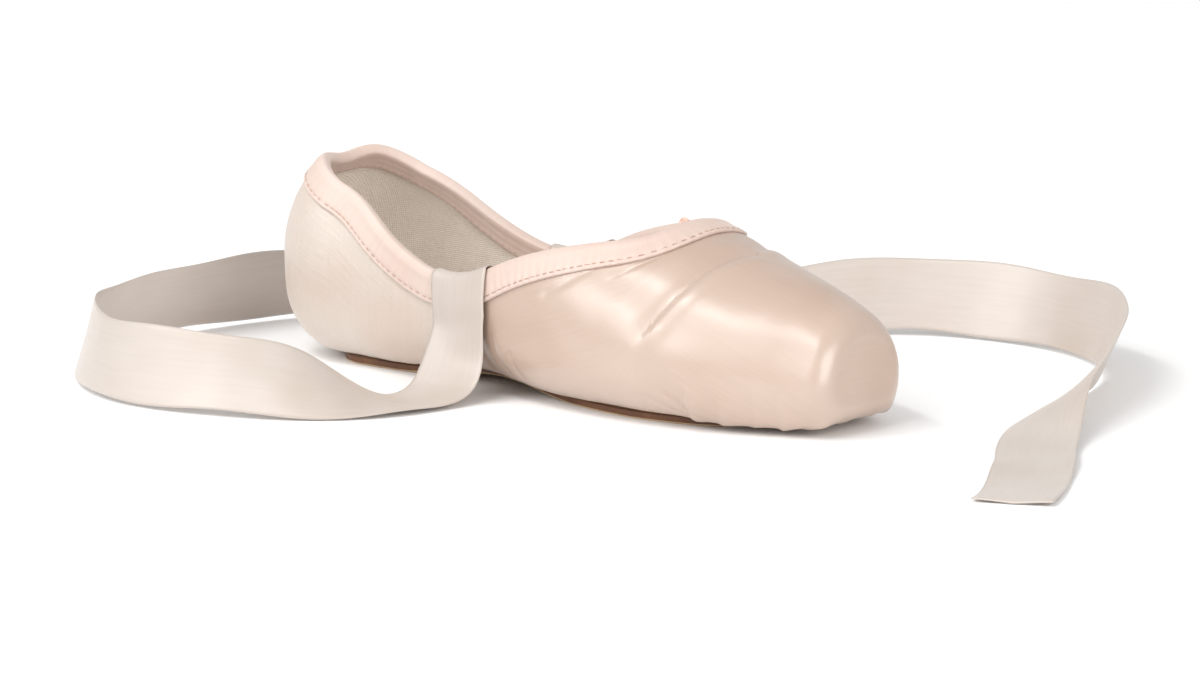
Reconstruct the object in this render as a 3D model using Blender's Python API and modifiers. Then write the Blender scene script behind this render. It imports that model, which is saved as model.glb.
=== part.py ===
"""A pointe shoe: satin upper, collar binding, sole, insole, seams, drawstring and two ribbons.

Metres, +Z up. The toe points along +X and +Y is the left. The origin lies on the floor under the
middle of the shoe. A place on the last is written as (place, around): place runs back from the
platform, and past the middle of the heel it turns round the heel; around runs from 0 under the
middle of the foot, by 1 at the widest height, to 2 on the middle of the instep.
"""
import math

import bmesh
import bpy
import numpy as np

# Sizes of the last
LENGTH = 0.236  # from the platform to the back of the heel
BALL_WIDTH = 0.080
PLATFORM_WIDTH = 0.041  # of the toe before its rim is rounded
HEEL_WIDTH = 0.0586
THROAT_HEIGHT = 0.0586  # top of the vamp at the throat, from the floor
SIDE_HEIGHT = 0.036  # lowest point of the collar
HEEL_HEIGHT = 0.0641  # collar at the back seam
VAMP_LENGTH = 0.068  # from the platform to the throat
THROAT_WIDTH = 0.050  # of the square front of the collar
PLATFORM_RIM = 0.006  # rounding between the flat platform and the box
FEATHER_ROUND = 0.0010  # softness of the edge where the side turns under
UNDERCUT = 0.0035  # how far below the seat the side would run on

# Materials' thicknesses
BOX_WALL = 0.0028  # stiffened layers of the toe box
SIDE_WALL = 0.0016  # satin and linings of the quarters
SOLE_THICKNESS = 0.0025
SOLE_TIP_THICKNESS = 0.0010  # the sole is pared thin at its front
INSOLE_THICKNESS = 0.0018
BINDING_THICKNESS = 0.0008
SEAM_THICKNESS = 0.0005
GAP = 0.0003  # between pieces that lie against each other

# The sole and the ground line
SOLE_FRONT = 0.1356 * LENGTH  # from the platform to the front of the sole
SOLE_END = 0.894 * LENGTH  # from the platform to the back of the sole
SOLE_BALL_WIDTH = 0.056
SOLE_WAIST_WIDTH = 0.032
SOLE_HEEL_WIDTH = 0.037
TOE_SPRING = 0.0004
TOE_LIFT = 0.0022  # how far the underside rises towards the platform
ARCH_RISE = 0.0032

# Overlays
BINDING_DEPTH = 0.009  # outside, below the collar's edge
BINDING_INSIDE = 0.007
SIDE_SEAM_WIDTH = 0.004
SIDE_SEAM_TOP = 0.610 * LENGTH  # front edge of the seam at the collar
SIDE_SEAM_FOOT = 0.644 * LENGTH  # the same at the sole
BACK_SEAM_WIDTH = 0.003
MARGIN = 0.009  # how far the upper turns in over the sole
MARGIN_FRONT = SOLE_FRONT + MARGIN  # where the opening under the upper begins

HEEL_CENTRE = 0.847 * LENGTH  # the heel's sections turn about this place
HEEL_TURN = HEEL_WIDTH / 2  # metres of place for a radian round the heel
HEEL_BACK = HEEL_CENTRE + HEEL_TURN * math.pi / 2
HEEL_REACH = LENGTH - HEEL_CENTRE - GAP - SEAM_THICKNESS
QUARTER = math.pi / 2

# The last's sections. place: share of the length. width: share of the size beside it.
# widest and crown: heights, shares of the size beside them. top, shoulder and low: how square the
# section is at its crown, at its widest height and below it.
SECTION_COLUMNS = ("place", "width", "width_of", "widest", "crown", "height_of", "top", "shoulder", "low")
SECTIONS = (
    (0.000, 1.000, PLATFORM_WIDTH, 0.290, 0.614, THROAT_HEIGHT, 2.10, 1.70, 2.6),
    (0.052, 0.615, BALL_WIDTH, 0.290, 0.712, THROAT_HEIGHT, 2.05, 1.66, 2.9),
    (0.127, 0.805, BALL_WIDTH, 0.316, 0.812, THROAT_HEIGHT, 2.00, 1.68, 3.2),
    (0.212, 0.945, BALL_WIDTH, 0.350, 0.910, THROAT_HEIGHT, 2.00, 1.76, 3.3),
    (0.297, 1.000, BALL_WIDTH, 0.380, 1.012, THROAT_HEIGHT, 2.00, 1.88, 3.2),
    (0.402, 0.972, BALL_WIDTH, 0.400, 1.075, THROAT_HEIGHT, 2.00, 1.98, 3.0),
    (0.530, 0.860, BALL_WIDTH, 0.390, 1.100, THROAT_HEIGHT, 2.00, 2.00, 2.8),
    (0.636, 1.055, HEEL_WIDTH, 0.365, 1.030, HEEL_HEIGHT, 2.00, 2.00, 2.7),
    (0.763, 1.005, HEEL_WIDTH, 0.420, 1.084, HEEL_HEIGHT, 2.00, 2.00, 2.8),
)
# The heel's sections, round its middle. turn: share of a quarter turn. reach: share of the reach back.
HEEL_COLUMNS = ("turn", "reach", "reach_of", "widest", "crown", "height_of", "top", "shoulder", "low")
HEEL_SECTIONS = (
    (0.0, 0.500, HEEL_WIDTH, 0.468, 1.120, HEEL_HEIGHT, 2.00, 2.00, 2.8),
    (0.5, 0.910, HEEL_REACH, 0.499, 1.160, HEEL_HEIGHT, 2.00, 2.00, 2.7),
    (1.0, 1.000, HEEL_REACH, 0.515, 1.081, HEEL_HEIGHT, 2.00, 2.00, 2.6),
)


def spline(knots, values):
    """Return a smooth function through the knots, with one column for each column of values."""
    knots = np.asarray(knots, float)
    values = np.asarray(values, float).reshape(len(knots), -1)
    steps = np.diff(knots)
    count = len(knots)
    system = np.eye(count)
    right = np.zeros_like(values)
    slopes = np.diff(values, axis=0) / steps[:, None]
    for i in range(1, count - 1):
        system[i, i - 1] = steps[i - 1]
        system[i, i] = 2 * (steps[i - 1] + steps[i])
        system[i, i + 1] = steps[i]
        right[i] = 6 * (slopes[i] - slopes[i - 1])
    bends = np.linalg.solve(system, right)

    def at(where):
        where = np.atleast_1d(np.asarray(where, float))
        i = np.clip(np.searchsorted(knots, where) - 1, 0, count - 2)
        width = steps[i][:, None]
        near = (where - knots[i])[:, None]
        far = width - near
        return (
            (bends[i] * far**3 + bends[i + 1] * near**3) / (6 * width)
            + (values[i] / width - bends[i] * width / 6) * far
            + (values[i + 1] / width - bends[i + 1] * width / 6) * near
        )

    return at


def mirrored_at_end(knots, rows):
    """Add the rows again past the end, in reverse, so that the curve is level at the end."""
    beyond = [2 * knots[-1] - knot for knot in knots[-2::-1]]
    return list(knots) + beyond, list(rows) + list(rows[-2::-1])


def last_sections():
    """Return the function that gives half width, widest, crown, top, shoulder and low at a place."""
    knots = []
    rows = []
    for place, width, width_of, widest, crown, height_of, top, shoulder, low in SECTIONS:
        knots.append(place * LENGTH)
        rows.append((width * width_of / 2, widest * height_of, crown * height_of, top, shoulder, low))
    for turn, reach, reach_of, widest, crown, height_of, top, shoulder, low in HEEL_SECTIONS:
        knots.append(HEEL_CENTRE + turn * QUARTER * HEEL_TURN)
        rows.append((reach * reach_of, widest * height_of, crown * height_of, top, shoulder, low))
    return spline(*mirrored_at_end(knots, rows))


section_at = last_sections()


def ease(value, start, end):
    """Go from 0 at start to 1 at end, level at both."""
    share = np.clip((np.asarray(value, float) - start) / (end - start), 0, 1)
    return share * share * (3 - 2 * share)


ARCH_FROM = 0.42 * LENGTH
ARCH_MIDDLE = 0.58 * LENGTH
ARCH_TO = 0.75 * LENGTH
SPRING_FROM = 0.21 * LENGTH  # in front of this the sole lifts off the floor
PARED_TO = 0.22 * LENGTH  # behind this the sole has its full thickness
LIFT_FROM = 0.075 * LENGTH  # in front of this the underside rises to the platform


def floor_clearance(place):
    """Height of the sole's underside above the floor."""
    arch = ARCH_RISE * ease(place, ARCH_FROM, ARCH_MIDDLE) * (1 - ease(place, ARCH_MIDDLE, ARCH_TO))
    return arch + TOE_SPRING * (1 - ease(place, SOLE_FRONT, SPRING_FROM))


def sole_thickness(place):
    return SOLE_TIP_THICKNESS + (SOLE_THICKNESS - SOLE_TIP_THICKNESS) * ease(place, SOLE_FRONT, PARED_TO)


def seat(place):
    """Height of the upper's underside."""
    return floor_clearance(place) + sole_thickness(place) + GAP + TOE_LIFT * (1 - ease(place, 0, LIFT_FROM))


def wall(place):
    """Thickness of the upper, from the box to the quarters."""
    box_end = VAMP_LENGTH - BINDING_DEPTH
    return BOX_WALL + (SIDE_WALL - BOX_WALL) * ease(place, 0.6 * box_end, box_end)


def signed_power(value, power):
    return np.sign(value) * np.abs(value) ** power


def section_point(place, around):
    """Distance from the middle line and height, on the last's section at a place."""
    half, widest, crown, top, shoulder, low = section_at(place).T
    bottom = seat(place)
    down = (1 - around) * QUARTER
    up = (around - 1) * QUARTER
    low_out = half * signed_power(np.cos(down), 2 / low)
    low_height = widest - (widest - bottom + UNDERCUT) * signed_power(np.sin(down), 2 / low)
    over = low_height - bottom
    low_height = bottom + (over + np.sqrt(over**2 + FEATHER_ROUND**2)) / 2
    top_out = half * signed_power(np.cos(up), 2 / top)
    joined = (widest + bottom + np.sqrt((widest - bottom) ** 2 + FEATHER_ROUND**2)) / 2
    top_height = joined + (crown - joined) * signed_power(np.sin(up), 2 / shoulder)
    out = np.where(around < 1, low_out, top_out)
    height = np.where(around < 1, low_height, top_height)
    # Towards the platform the section shrinks along a quarter circle
    near = np.clip(PLATFORM_RIM - place, 0, PLATFORM_RIM)
    inset = PLATFORM_RIM - np.sqrt(PLATFORM_RIM**2 - near**2)
    middle = (crown + bottom) / 2
    out = out * (1 - inset / half)
    height = middle + (height - middle) * (1 - inset / (crown - middle))
    return out, height


def last_point(place, around):
    """Points of the last's left half in space, one row each."""
    place = np.atleast_1d(np.asarray(place, float))
    around = np.broadcast_to(np.asarray(around, float), place.shape)
    out, height = section_point(place, around)
    turn = np.clip((place - HEEL_CENTRE) / HEEL_TURN, 0, None)
    back = np.minimum(place, HEEL_CENTRE) + out * np.sin(turn)
    return np.stack((LENGTH / 2 - back, out * np.cos(turn), height), axis=1)


STEP = 1e-5


def last_slopes(place, around):
    """How the point moves with place and with around."""
    along = (last_point(place + STEP, around) - last_point(place - STEP, around)) / (2 * STEP)
    round_it = (last_point(place, around + STEP) - last_point(place, around - STEP)) / (2 * STEP)
    return along, round_it


def last_normal(place, around):
    """Outward directions of the last."""
    along, round_it = last_slopes(place, around)
    normal = np.cross(along, round_it)
    return normal / np.linalg.norm(normal, axis=1, keepdims=True)


def walk(place, around, heading, distance, stages=3):
    """Move over the last along a direction in space by a distance."""
    place = np.array(place, float)
    around = np.array(around, float)
    for _ in range(stages):
        along, round_it = last_slopes(place, around)
        for i in range(len(place)):
            basis = np.stack((along[i], round_it[i]), axis=1)
            moved = np.linalg.lstsq(basis, heading[i] * distance / stages, rcond=None)[0]
            place[i] += moved[0]
            around[i] += moved[1]
    return place, around


def around_at_height(place, height):
    """Where the upper part of a section has this height."""
    half, widest, crown, top, shoulder, low = section_at(place)[0]
    return 1 + math.asin(((height - widest) / (crown - widest)) ** (shoulder / 2)) / QUARTER


def around_at_width(place, half_width):
    """Where the upper part of a section is this far from the middle line."""
    half, widest, crown, top, shoulder, low = section_at(place)[0]
    return 1 + math.acos((half_width / half) ** (top / 2)) / QUARTER


def around_under(place, half_width):
    """Where the underside of a section is this far from the middle line."""
    half, widest, crown, top, shoulder, low = section_at(place)[0]
    return 1 - math.acos((half_width / half) ** (low / 2)) / QUARTER


# The collar. behind: distance behind the throat, a share of the throat's width. out: share of its half.
THROAT_COLUMNS = ("behind", "out")
THROAT_ROWS = (
    (0.000, 0.00),
    (0.016, 0.42),
    (0.110, 0.77),
    (0.300, 0.98),
)
# Further back. place: share of the length. height: share of the size beside it.
COLLAR_COLUMNS = ("place", "height", "height_of")
COLLAR_ROWS = (
    (0.419, 0.855, THROAT_HEIGHT),
    (0.513, 0.735, THROAT_HEIGHT),
    (0.572, 1.035, SIDE_HEIGHT),
    (0.636, 1.000, SIDE_HEIGHT),
    (0.692, 1.105, SIDE_HEIGHT),
    (0.752, 0.735, HEEL_HEIGHT),
    (0.826, 0.893, HEEL_HEIGHT),
)
# Round the heel. turn: share of a quarter turn.
HEEL_COLLAR_ROWS = (
    (0.30, 0.985, HEEL_HEIGHT),
    (0.62, 1.022, HEEL_HEIGHT),
    (1.00, 1.000, HEEL_HEIGHT),
)


class Edge:
    """A smooth edge over the last's left half, from one middle line to the other."""

    def __init__(self, places, arounds, middle):
        # The edge crosses the middle line squarely at both ends, so its mirror image runs on there
        spaces = last_point(places, arounds)
        gaps = np.linalg.norm(np.diff(spaces, axis=0), axis=1)
        knots = np.concatenate(([0], np.cumsum(gaps)))
        points = np.stack((places, arounds), axis=1)
        before = points[:0:-1] * (1, -1) + (0, 2 * middle)
        after = points[-2::-1] * (-1, 1) + (2 * points[-1][0], 0)
        run = knots[-1]
        knots = np.concatenate((-knots[:0:-1], knots, 2 * run - knots[-2::-1]))
        self.curve = spline(knots, np.concatenate((before, points, after)))
        dense = np.linspace(0, run, 600)
        inside = last_point(*self.curve(dense).T)
        run = np.concatenate(([0], np.cumsum(np.linalg.norm(np.diff(inside, axis=0), axis=1))))
        self.dense = dense
        self.run = run
        self.length = run[-1]

    def at_run(self, run):
        """Place and around at a distance along the edge."""
        return self.curve(np.interp(run, self.run, self.dense)).T

    def run_at_place(self, place):
        """Distance along the edge to a place, behind its rounded front."""
        places = np.maximum.accumulate(self.curve(self.dense)[:, 0])
        return np.interp(place, places, self.run)

    def heading(self, run):
        """Direction of the edge, from the front to the back."""
        ahead = self.point(run + STEP * 10)
        behind = self.point(run - STEP * 10)
        along = ahead - behind
        return along / np.linalg.norm(along, axis=1, keepdims=True)

    def point(self, run):
        """Point in space, also a little past either end, on the mirrored side."""
        run = np.atleast_1d(np.asarray(run, float))
        folded = np.where(run < 0, -run, np.where(run > self.length, 2 * self.length - run, run))
        points = last_point(*self.at_run(folded))
        beyond = (run < 0) | (run > self.length)
        points[beyond, 1] *= -1
        return points


def collar_edge():
    places = []
    arounds = []
    for behind, out in THROAT_ROWS:
        place = VAMP_LENGTH + behind * THROAT_WIDTH
        places.append(place)
        arounds.append(around_at_width(place, out * THROAT_WIDTH / 2))
    for share, height, height_of in COLLAR_ROWS:
        places.append(share * LENGTH)
        arounds.append(around_at_height(places[-1], height * height_of))
    for turn, height, height_of in HEEL_COLLAR_ROWS:
        places.append(HEEL_CENTRE + turn * QUARTER * HEEL_TURN)
        arounds.append(around_at_height(places[-1], height * height_of))
    return Edge(places, arounds, middle=2)


# The opening under the upper, which the sole closes. place: share of its length. out: share of the half
# width that the margin leaves of the sole.
MARGIN_ROWS = (
    (0.004, 0.30, SOLE_BALL_WIDTH),
    (0.055, 0.62, SOLE_BALL_WIDTH),
    (0.170, 1.00, SOLE_BALL_WIDTH),
    (0.380, 0.86, SOLE_BALL_WIDTH),
    (0.620, 1.00, SOLE_WAIST_WIDTH),
    (0.800, 1.00, SOLE_HEEL_WIDTH),
)
HEEL_MARGIN_ROWS = (
    (0.0, 0.55),
    (0.5, 0.45),
    (1.0, 0.40),
)


def margin_edge():
    """The inner edge of the upper's turned-in margin."""
    places = [MARGIN_FRONT]
    arounds = [0.0]
    run = HEEL_CENTRE - MARGIN_FRONT
    for share, out, out_of in MARGIN_ROWS:
        places.append(MARGIN_FRONT + share * run)
        arounds.append(around_under(places[-1], out * (out_of / 2 - MARGIN)))
    for turn, out in HEEL_MARGIN_ROWS:
        places.append(HEEL_CENTRE + turn * QUARTER * HEEL_TURN)
        arounds.append(around_under(places[-1], out * (SOLE_END - HEEL_CENTRE)))
    return Edge(places, arounds, middle=0)


collar = collar_edge()
margin = margin_edge()

# How finely the upper is divided
COLUMN_ROWS = 12
RIM_STEPS = 3
BOX_CELLS = 5
VAMP_CELLS = 3
FRONT_CELLS = 15
BACK_CELLS = 12
BINDING_ROWS = 2
SEAM_FIRST_ROW = 4  # of a column, just above the sole's edge
SEAM_REACH = 0.94  # share of a column, which ends short of the binding


class Column:
    """One line of the upper's grid, from its lower edge up to the middle line or to the collar."""

    def __init__(self, foot, head):
        self.foot = foot
        self.head = head


def closed_columns():
    """Columns of the box and the vamp, whose heads are on the middle line."""
    columns = []
    for i in range(RIM_STEPS):
        place = PLATFORM_RIM * (1 - math.cos(QUARTER * i / RIM_STEPS))
        columns.append(Column((place, 0.0), (place, 2.0)))
    head_end = VAMP_LENGTH - BINDING_DEPTH
    head_middle = PLATFORM_RIM + (head_end - PLATFORM_RIM) * BOX_CELLS / (BOX_CELLS + VAMP_CELLS)
    for i in range(BOX_CELLS):
        share = i / BOX_CELLS
        foot = PLATFORM_RIM + (MARGIN_FRONT - PLATFORM_RIM) * share
        head = PLATFORM_RIM + (head_middle - PLATFORM_RIM) * share
        columns.append(Column((foot, 0.0), (head, 2.0)))
    for i in range(VAMP_CELLS):
        head = head_middle + (head_end - head_middle) * i / VAMP_CELLS
        foot = margin.at_run(BINDING_DEPTH * 2 * i / VAMP_CELLS)
        columns.append(Column((foot[0][0], foot[1][0]), (head, 2.0)))
    return columns


def open_runs():
    """Distances along the collar and along the margin at the columns that end on the collar."""
    seam_front = collar.run_at_place(SIDE_SEAM_TOP)
    seam_back = collar.run_at_place(SIDE_SEAM_TOP + SIDE_SEAM_WIDTH)
    heads = list(np.linspace(0, seam_front, FRONT_CELLS + 1))
    feet_start = BINDING_DEPTH * 2
    feet = list(np.linspace(feet_start, margin.run_at_place(SIDE_SEAM_FOOT), FRONT_CELLS + 1))
    last_place = HEEL_BACK - BACK_SEAM_WIDTH / 2 * HEEL_TURN / HEEL_REACH
    head_places = np.linspace(SIDE_SEAM_TOP + SIDE_SEAM_WIDTH, last_place, BACK_CELLS + 1)
    foot_places = np.linspace(SIDE_SEAM_FOOT + SIDE_SEAM_WIDTH, last_place, BACK_CELLS + 1)
    heads += [seam_back] + list(collar.run_at_place(head_places[1:])) + [collar.length]
    feet += list(margin.run_at_place(foot_places)) + [margin.length]
    return np.array(heads), np.array(feet)


def collar_band(runs, depths):
    """Places and arounds below the collar's edge, one row for each depth."""
    place, around = collar.at_run(runs)
    down = np.cross(collar.heading(runs), last_normal(place, around))
    rows = []
    for depth in depths:
        moved = walk(place, around, down, depth)
        moved[1][0] = 2.0
        moved[0][-1] = HEEL_BACK
        rows.append(moved)
    return rows


head_runs, foot_runs = open_runs()
band = collar_band(head_runs, np.linspace(BINDING_DEPTH, 0, BINDING_ROWS + 1))


def grid_point(place, around, out=0.0):
    """A point of the last, or one off it along its outward direction."""
    place = np.atleast_1d(np.asarray(place, float))
    around = np.atleast_1d(np.asarray(around, float))
    return last_point(place, around) + last_normal(place, around) * out


def column_points(column, out=0.0, rows=COLUMN_ROWS):
    """Points of a column from its foot to its head."""
    share = np.linspace(0, 1, rows + 1)
    place = column.foot[0] + (column.head[0] - column.foot[0]) * share
    around = column.foot[1] + (column.head[1] - column.foot[1]) * share
    return grid_point(place, around, out)


def open_columns():
    """Columns that end on the lower edge of the collar's band."""
    foot = margin.at_run(foot_runs)
    low = band[0]
    return [
        Column((foot[0][i], foot[1][i]), (low[0][i], low[1][i]))
        for i in range(len(head_runs))
    ]


def add_material(item, name, colour, roughness, coat=0.0):
    material = bpy.data.materials.new(name)
    material.use_nodes = True
    shader = material.node_tree.nodes["Principled BSDF"]
    shader.inputs["Base Color"].default_value = (*colour, 1)
    shader.inputs["Roughness"].default_value = roughness
    shader.inputs["Metallic"].default_value = 0.0
    shader.inputs["Coat Weight"].default_value = coat
    item.data.materials.append(material)


def add_object(name, mesh):
    item = bpy.data.objects.new(name, mesh)
    shoe.objects.link(item)
    return item


ON_PLANE = 1e-4  # what is this near the middle plane lies on it


def sheet_mesh(name, grids, on_plane=True):
    """Join grids of points into one open mesh, whose cells run anticlockwise seen from outside."""
    mesh = bpy.data.meshes.new(name)
    build = bmesh.new()
    for grid in grids:
        made = [[build.verts.new(point) for point in line] for line in grid]
        for line, following in zip(made, made[1:]):
            for j in range(len(line) - 1):
                build.faces.new((line[j], following[j], following[j + 1], line[j + 1]))
    if on_plane:
        for vertex in build.verts:
            if abs(vertex.co.y) < ON_PLANE:
                vertex.co.y = 0.0
    bmesh.ops.remove_doubles(build, verts=build.verts, dist=1e-5)
    bmesh.ops.dissolve_degenerate(build, edges=build.edges, dist=1e-6)
    build.to_mesh(mesh)
    build.free()
    return mesh


def add_mirror(item):
    mirror = item.modifiers.new("left and right", "MIRROR")
    mirror.use_axis = (False, True, False)
    mirror.merge_threshold = 1e-5


def add_thickness(item, thickness, offset):
    solid = item.modifiers.new("thickness", "SOLIDIFY")
    solid.thickness = thickness
    solid.offset = offset
    solid.use_even_offset = True
    return solid


def smooth_shade(item, angle=40):
    item.data.shade_smooth()
    item.data.set_sharp_from_angle(angle=math.radians(angle))


def make_upper():
    """The hollow upper: box, vamp and quarters in one wall, open at the collar and underneath."""
    front = closed_columns()
    back = open_columns()
    lines = [column_points(column) for column in front + back]
    face_edge = lines[0]
    face = [face_edge * np.array((1, share, 1)) for share in (0.0, 0.5)] + [face_edge]
    rows = [grid_point(*row) for row in band]
    collar_grid = [[row[i] for row in rows] for i in range(len(head_runs))]
    mesh = sheet_mesh("upper", [face, lines, collar_grid])
    item = add_object("upper", mesh)
    group = item.vertex_groups.new(name="box")
    places = np.array([LENGTH / 2 - vertex.co.x for vertex in mesh.vertices])
    shares = (wall(places) - SIDE_WALL) / (BOX_WALL - SIDE_WALL)
    for vertex, share in zip(mesh.vertices, shares):
        group.add([vertex.index], float(share), "REPLACE")
    add_mirror(item)
    solid = add_thickness(item, BOX_WALL, -1)
    solid.vertex_group = "box"
    solid.thickness_vertex_group = SIDE_WALL / BOX_WALL
    smooth_shade(item)
    add_material(item, "satin", (0.87, 0.70, 0.59), 0.35, 0.3)


def make_binding():
    """The folded casing over the collar's edge, outside and inside."""
    edge_lift = 2 * GAP
    inside = SIDE_WALL + 2 * GAP
    depths_in = np.linspace(0, BINDING_INSIDE, BINDING_ROWS + 1)
    outer = [grid_point(*row, GAP) for row in band]
    top = collar_band(head_runs, (-edge_lift,))[0]
    rim = [grid_point(*top, 0.0), grid_point(*top, -SIDE_WALL)]
    inner = [grid_point(*row, -inside) for row in collar_band(head_runs, depths_in)]
    rows = outer + rim + inner
    grid = [[row[i] for row in rows] for i in range(len(head_runs))]
    item = add_object("binding", sheet_mesh("binding", [grid]))
    add_mirror(item)
    add_thickness(item, BINDING_THICKNESS, 1)
    smooth_shade(item)
    add_material(item, "binding cloth", (0.93, 0.82, 0.75), 0.6)


def seam_lines(columns):
    """Lines of points along some columns, just off the upper, from the sole's edge to the binding."""
    lines = []
    for column in columns:
        head = tuple(f + (h - f) * SEAM_REACH for f, h in zip(column.foot, column.head))
        lines.append(column_points(Column(column.foot, head), GAP)[SEAM_FIRST_ROW:])
    return lines


def make_side_seams():
    """The flat stitched seam between the satin front and the heel panel, on each side."""
    lines = seam_lines(open_columns()[FRONT_CELLS:FRONT_CELLS + 2])
    for side, name in ((1, "side_seam_left"), (-1, "side_seam_right")):
        ordered = lines if side > 0 else lines[::-1]
        grid = [line * np.array((1, side, 1)) for line in ordered]
        item = add_object(name, sheet_mesh(name, [grid], on_plane=False))
        add_thickness(item, SEAM_THICKNESS, 1)
        smooth_shade(item)
        add_material(item, name + " thread", (0.90, 0.79, 0.72), 0.6)


def make_back_seam():
    """The raised seam up the middle of the heel."""
    lines = seam_lines(open_columns()[-2:])
    item = add_object("back_seam", sheet_mesh("back_seam", [lines]))
    add_mirror(item)
    add_thickness(item, SEAM_THICKNESS, 1)
    smooth_shade(item)
    add_material(item, "back seam cloth", (0.93, 0.84, 0.78), 0.6)


# The sole's outline. place: share of its length. out: share of the width beside it.
SOLE_COLUMNS = ("place", "out", "out_of")
SOLE_ROWS = (
    (0.000, 0.66, SOLE_BALL_WIDTH),
    (0.060, 0.80, SOLE_BALL_WIDTH),
    (0.215, 1.00, SOLE_BALL_WIDTH),
    (0.400, 0.82, SOLE_BALL_WIDTH),
    (0.540, 1.08, SOLE_WAIST_WIDTH),
    (0.660, 1.00, SOLE_WAIST_WIDTH),
    (0.850, 1.00, SOLE_HEEL_WIDTH),
    (1.000, 0.94, SOLE_HEEL_WIDTH),
)
SOLE_FRONT_ROUND = 0.012  # length of the rounding at the sole's front
SOLE_BACK_ROUND = 0.017
SOLE_CELLS = 26
SOLE_ACROSS = 4
BLUNT_END = 0.0008  # half width at the ends of the plates


def rounded_end(distance, length, power):
    """Go from 0 to 1 over a length, as the rounded end of an outline does."""
    share = np.clip(distance / length, 0, 1)
    return (1 - (1 - share) ** power) ** (1 / power)


def sole_half_width(place):
    run = SOLE_END - SOLE_FRONT
    knots = [SOLE_FRONT + share * run for share, _, _ in SOLE_ROWS]
    halves = [out * out_of / 2 for _, out, out_of in SOLE_ROWS]
    half = spline(knots, halves)(place)[:, 0]
    front = rounded_end(place - SOLE_FRONT, SOLE_FRONT_ROUND, 2.4)
    back = rounded_end(SOLE_END - place, SOLE_BACK_ROUND, 2.0)
    return half * front * back


def eased_places(start, end, cells):
    """Places that crowd towards both ends, where the outline is round."""
    turn = np.linspace(0, math.pi, cells + 1)
    even = np.linspace(0, 1, cells + 1)
    crowded = (1 - np.cos(turn)) / 2
    return start + (end - start) * (0.35 * even + 0.65 * crowded)


def plate_mesh(name, xs, halves, lows, highs, across):
    """A flat-sided plate that follows a height along the shoe, with its own outline."""
    mesh = bpy.data.meshes.new(name)
    build = bmesh.new()
    levels = []
    for heights in (lows, highs):
        lines = []
        for x, half, height in zip(xs, halves, heights):
            ys = np.linspace(-half, half, across + 1)
            lines.append([build.verts.new((x, y, height)) for y in ys])
        levels.append(lines)
    low, high = levels
    last = across
    for i in range(len(xs) - 1):
        for j in range(across):
            build.faces.new((low[i][j], low[i + 1][j], low[i + 1][j + 1], low[i][j + 1]))
            build.faces.new((high[i][j], high[i][j + 1], high[i + 1][j + 1], high[i + 1][j]))
        build.faces.new((low[i][0], high[i][0], high[i + 1][0], low[i + 1][0]))
        build.faces.new((low[i][last], low[i + 1][last], high[i + 1][last], high[i][last]))
    for i, turn in ((0, 1), (len(xs) - 1, -1)):
        for j in range(across):
            build.faces.new((low[i][j], low[i][j + 1], high[i][j + 1], high[i][j])[::turn])
    bmesh.ops.remove_doubles(build, verts=build.verts, dist=1e-6)
    bmesh.ops.dissolve_degenerate(build, edges=build.edges, dist=1e-6)
    bmesh.ops.recalc_face_normals(build, faces=build.faces)
    build.to_mesh(mesh)
    build.free()
    return mesh


def make_outsole():
    """The narrow leather sole, pared thin in front, with its arch off the floor."""
    places = eased_places(SOLE_FRONT, SOLE_END, SOLE_CELLS)
    halves = np.maximum(sole_half_width(places), BLUNT_END)
    lows = floor_clearance(places)
    highs = lows + sole_thickness(places)
    mesh = plate_mesh("outsole", LENGTH / 2 - places, halves, lows, highs, SOLE_ACROSS)
    item = add_object("outsole", mesh)
    smooth_shade(item, 30)
    add_material(item, "sole leather", (0.45, 0.31, 0.19), 0.7)


INSOLE_FRONT = 0.0805 * LENGTH
INSOLE_CELLS = 24
INSOLE_HEEL_CELLS = 6
INSOLE_FRONT_ROUND = 0.012
INSOLE_FRONT_BLUNT = 0.003  # how much of that rounding its straight front cuts off
INSOLE_CLEARANCE = 0.0018  # between the insole's edge and the upper's inner wall


def insole_seat(place):
    """Height of the insole's underside, over the upper's turned-in margin."""
    return seat(place) + wall(place) + FEATHER_ROUND / 2 + 2 * GAP


def inner_half_width(place):
    """Half width inside the wall, at the height of the insole's underside."""
    around = np.linspace(0.02, 1.0, 120)
    places = np.full_like(around, place)
    out, height = section_point(places, around)
    slope_out = np.gradient(out)
    slope_height = np.gradient(height)
    size = np.hypot(slope_out, slope_height)
    thick = wall(place)
    inner_out = out - slope_height / size * thick
    inner_height = height + slope_out / size * thick
    rising = np.maximum.accumulate(inner_height)
    level = insole_seat(place)
    return float(np.interp(level, rising, inner_out))


def make_insole():
    """The sock lining's board, which covers the margin and the opening between."""
    places = eased_places(INSOLE_FRONT, HEEL_CENTRE, INSOLE_CELLS)
    xs = list(LENGTH / 2 - places)
    halves = [inner_half_width(place) - INSOLE_CLEARANCE for place in places]
    front = rounded_end(places - INSOLE_FRONT + INSOLE_FRONT_BLUNT, INSOLE_FRONT_ROUND, 2.6)
    halves = list(np.array(halves) * front)
    lows = [float(insole_seat(place)) for place in places]
    for i in range(1, INSOLE_HEEL_CELLS + 1):
        turn = QUARTER * i / INSOLE_HEEL_CELLS
        place = HEEL_CENTRE + turn * HEEL_TURN
        reach = inner_half_width(place) - INSOLE_CLEARANCE
        xs.append(LENGTH / 2 - HEEL_CENTRE - reach * math.sin(turn))
        halves.append(max(reach * math.cos(turn), BLUNT_END))
        lows.append(lows[-1])
    highs = [low + INSOLE_THICKNESS for low in lows]
    item = add_object("insole", plate_mesh("insole", xs, halves, lows, highs, SOLE_ACROSS))
    smooth_shade(item, 30)
    add_material(item, "insole cloth", (0.80, 0.72, 0.62), 0.8)


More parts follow.
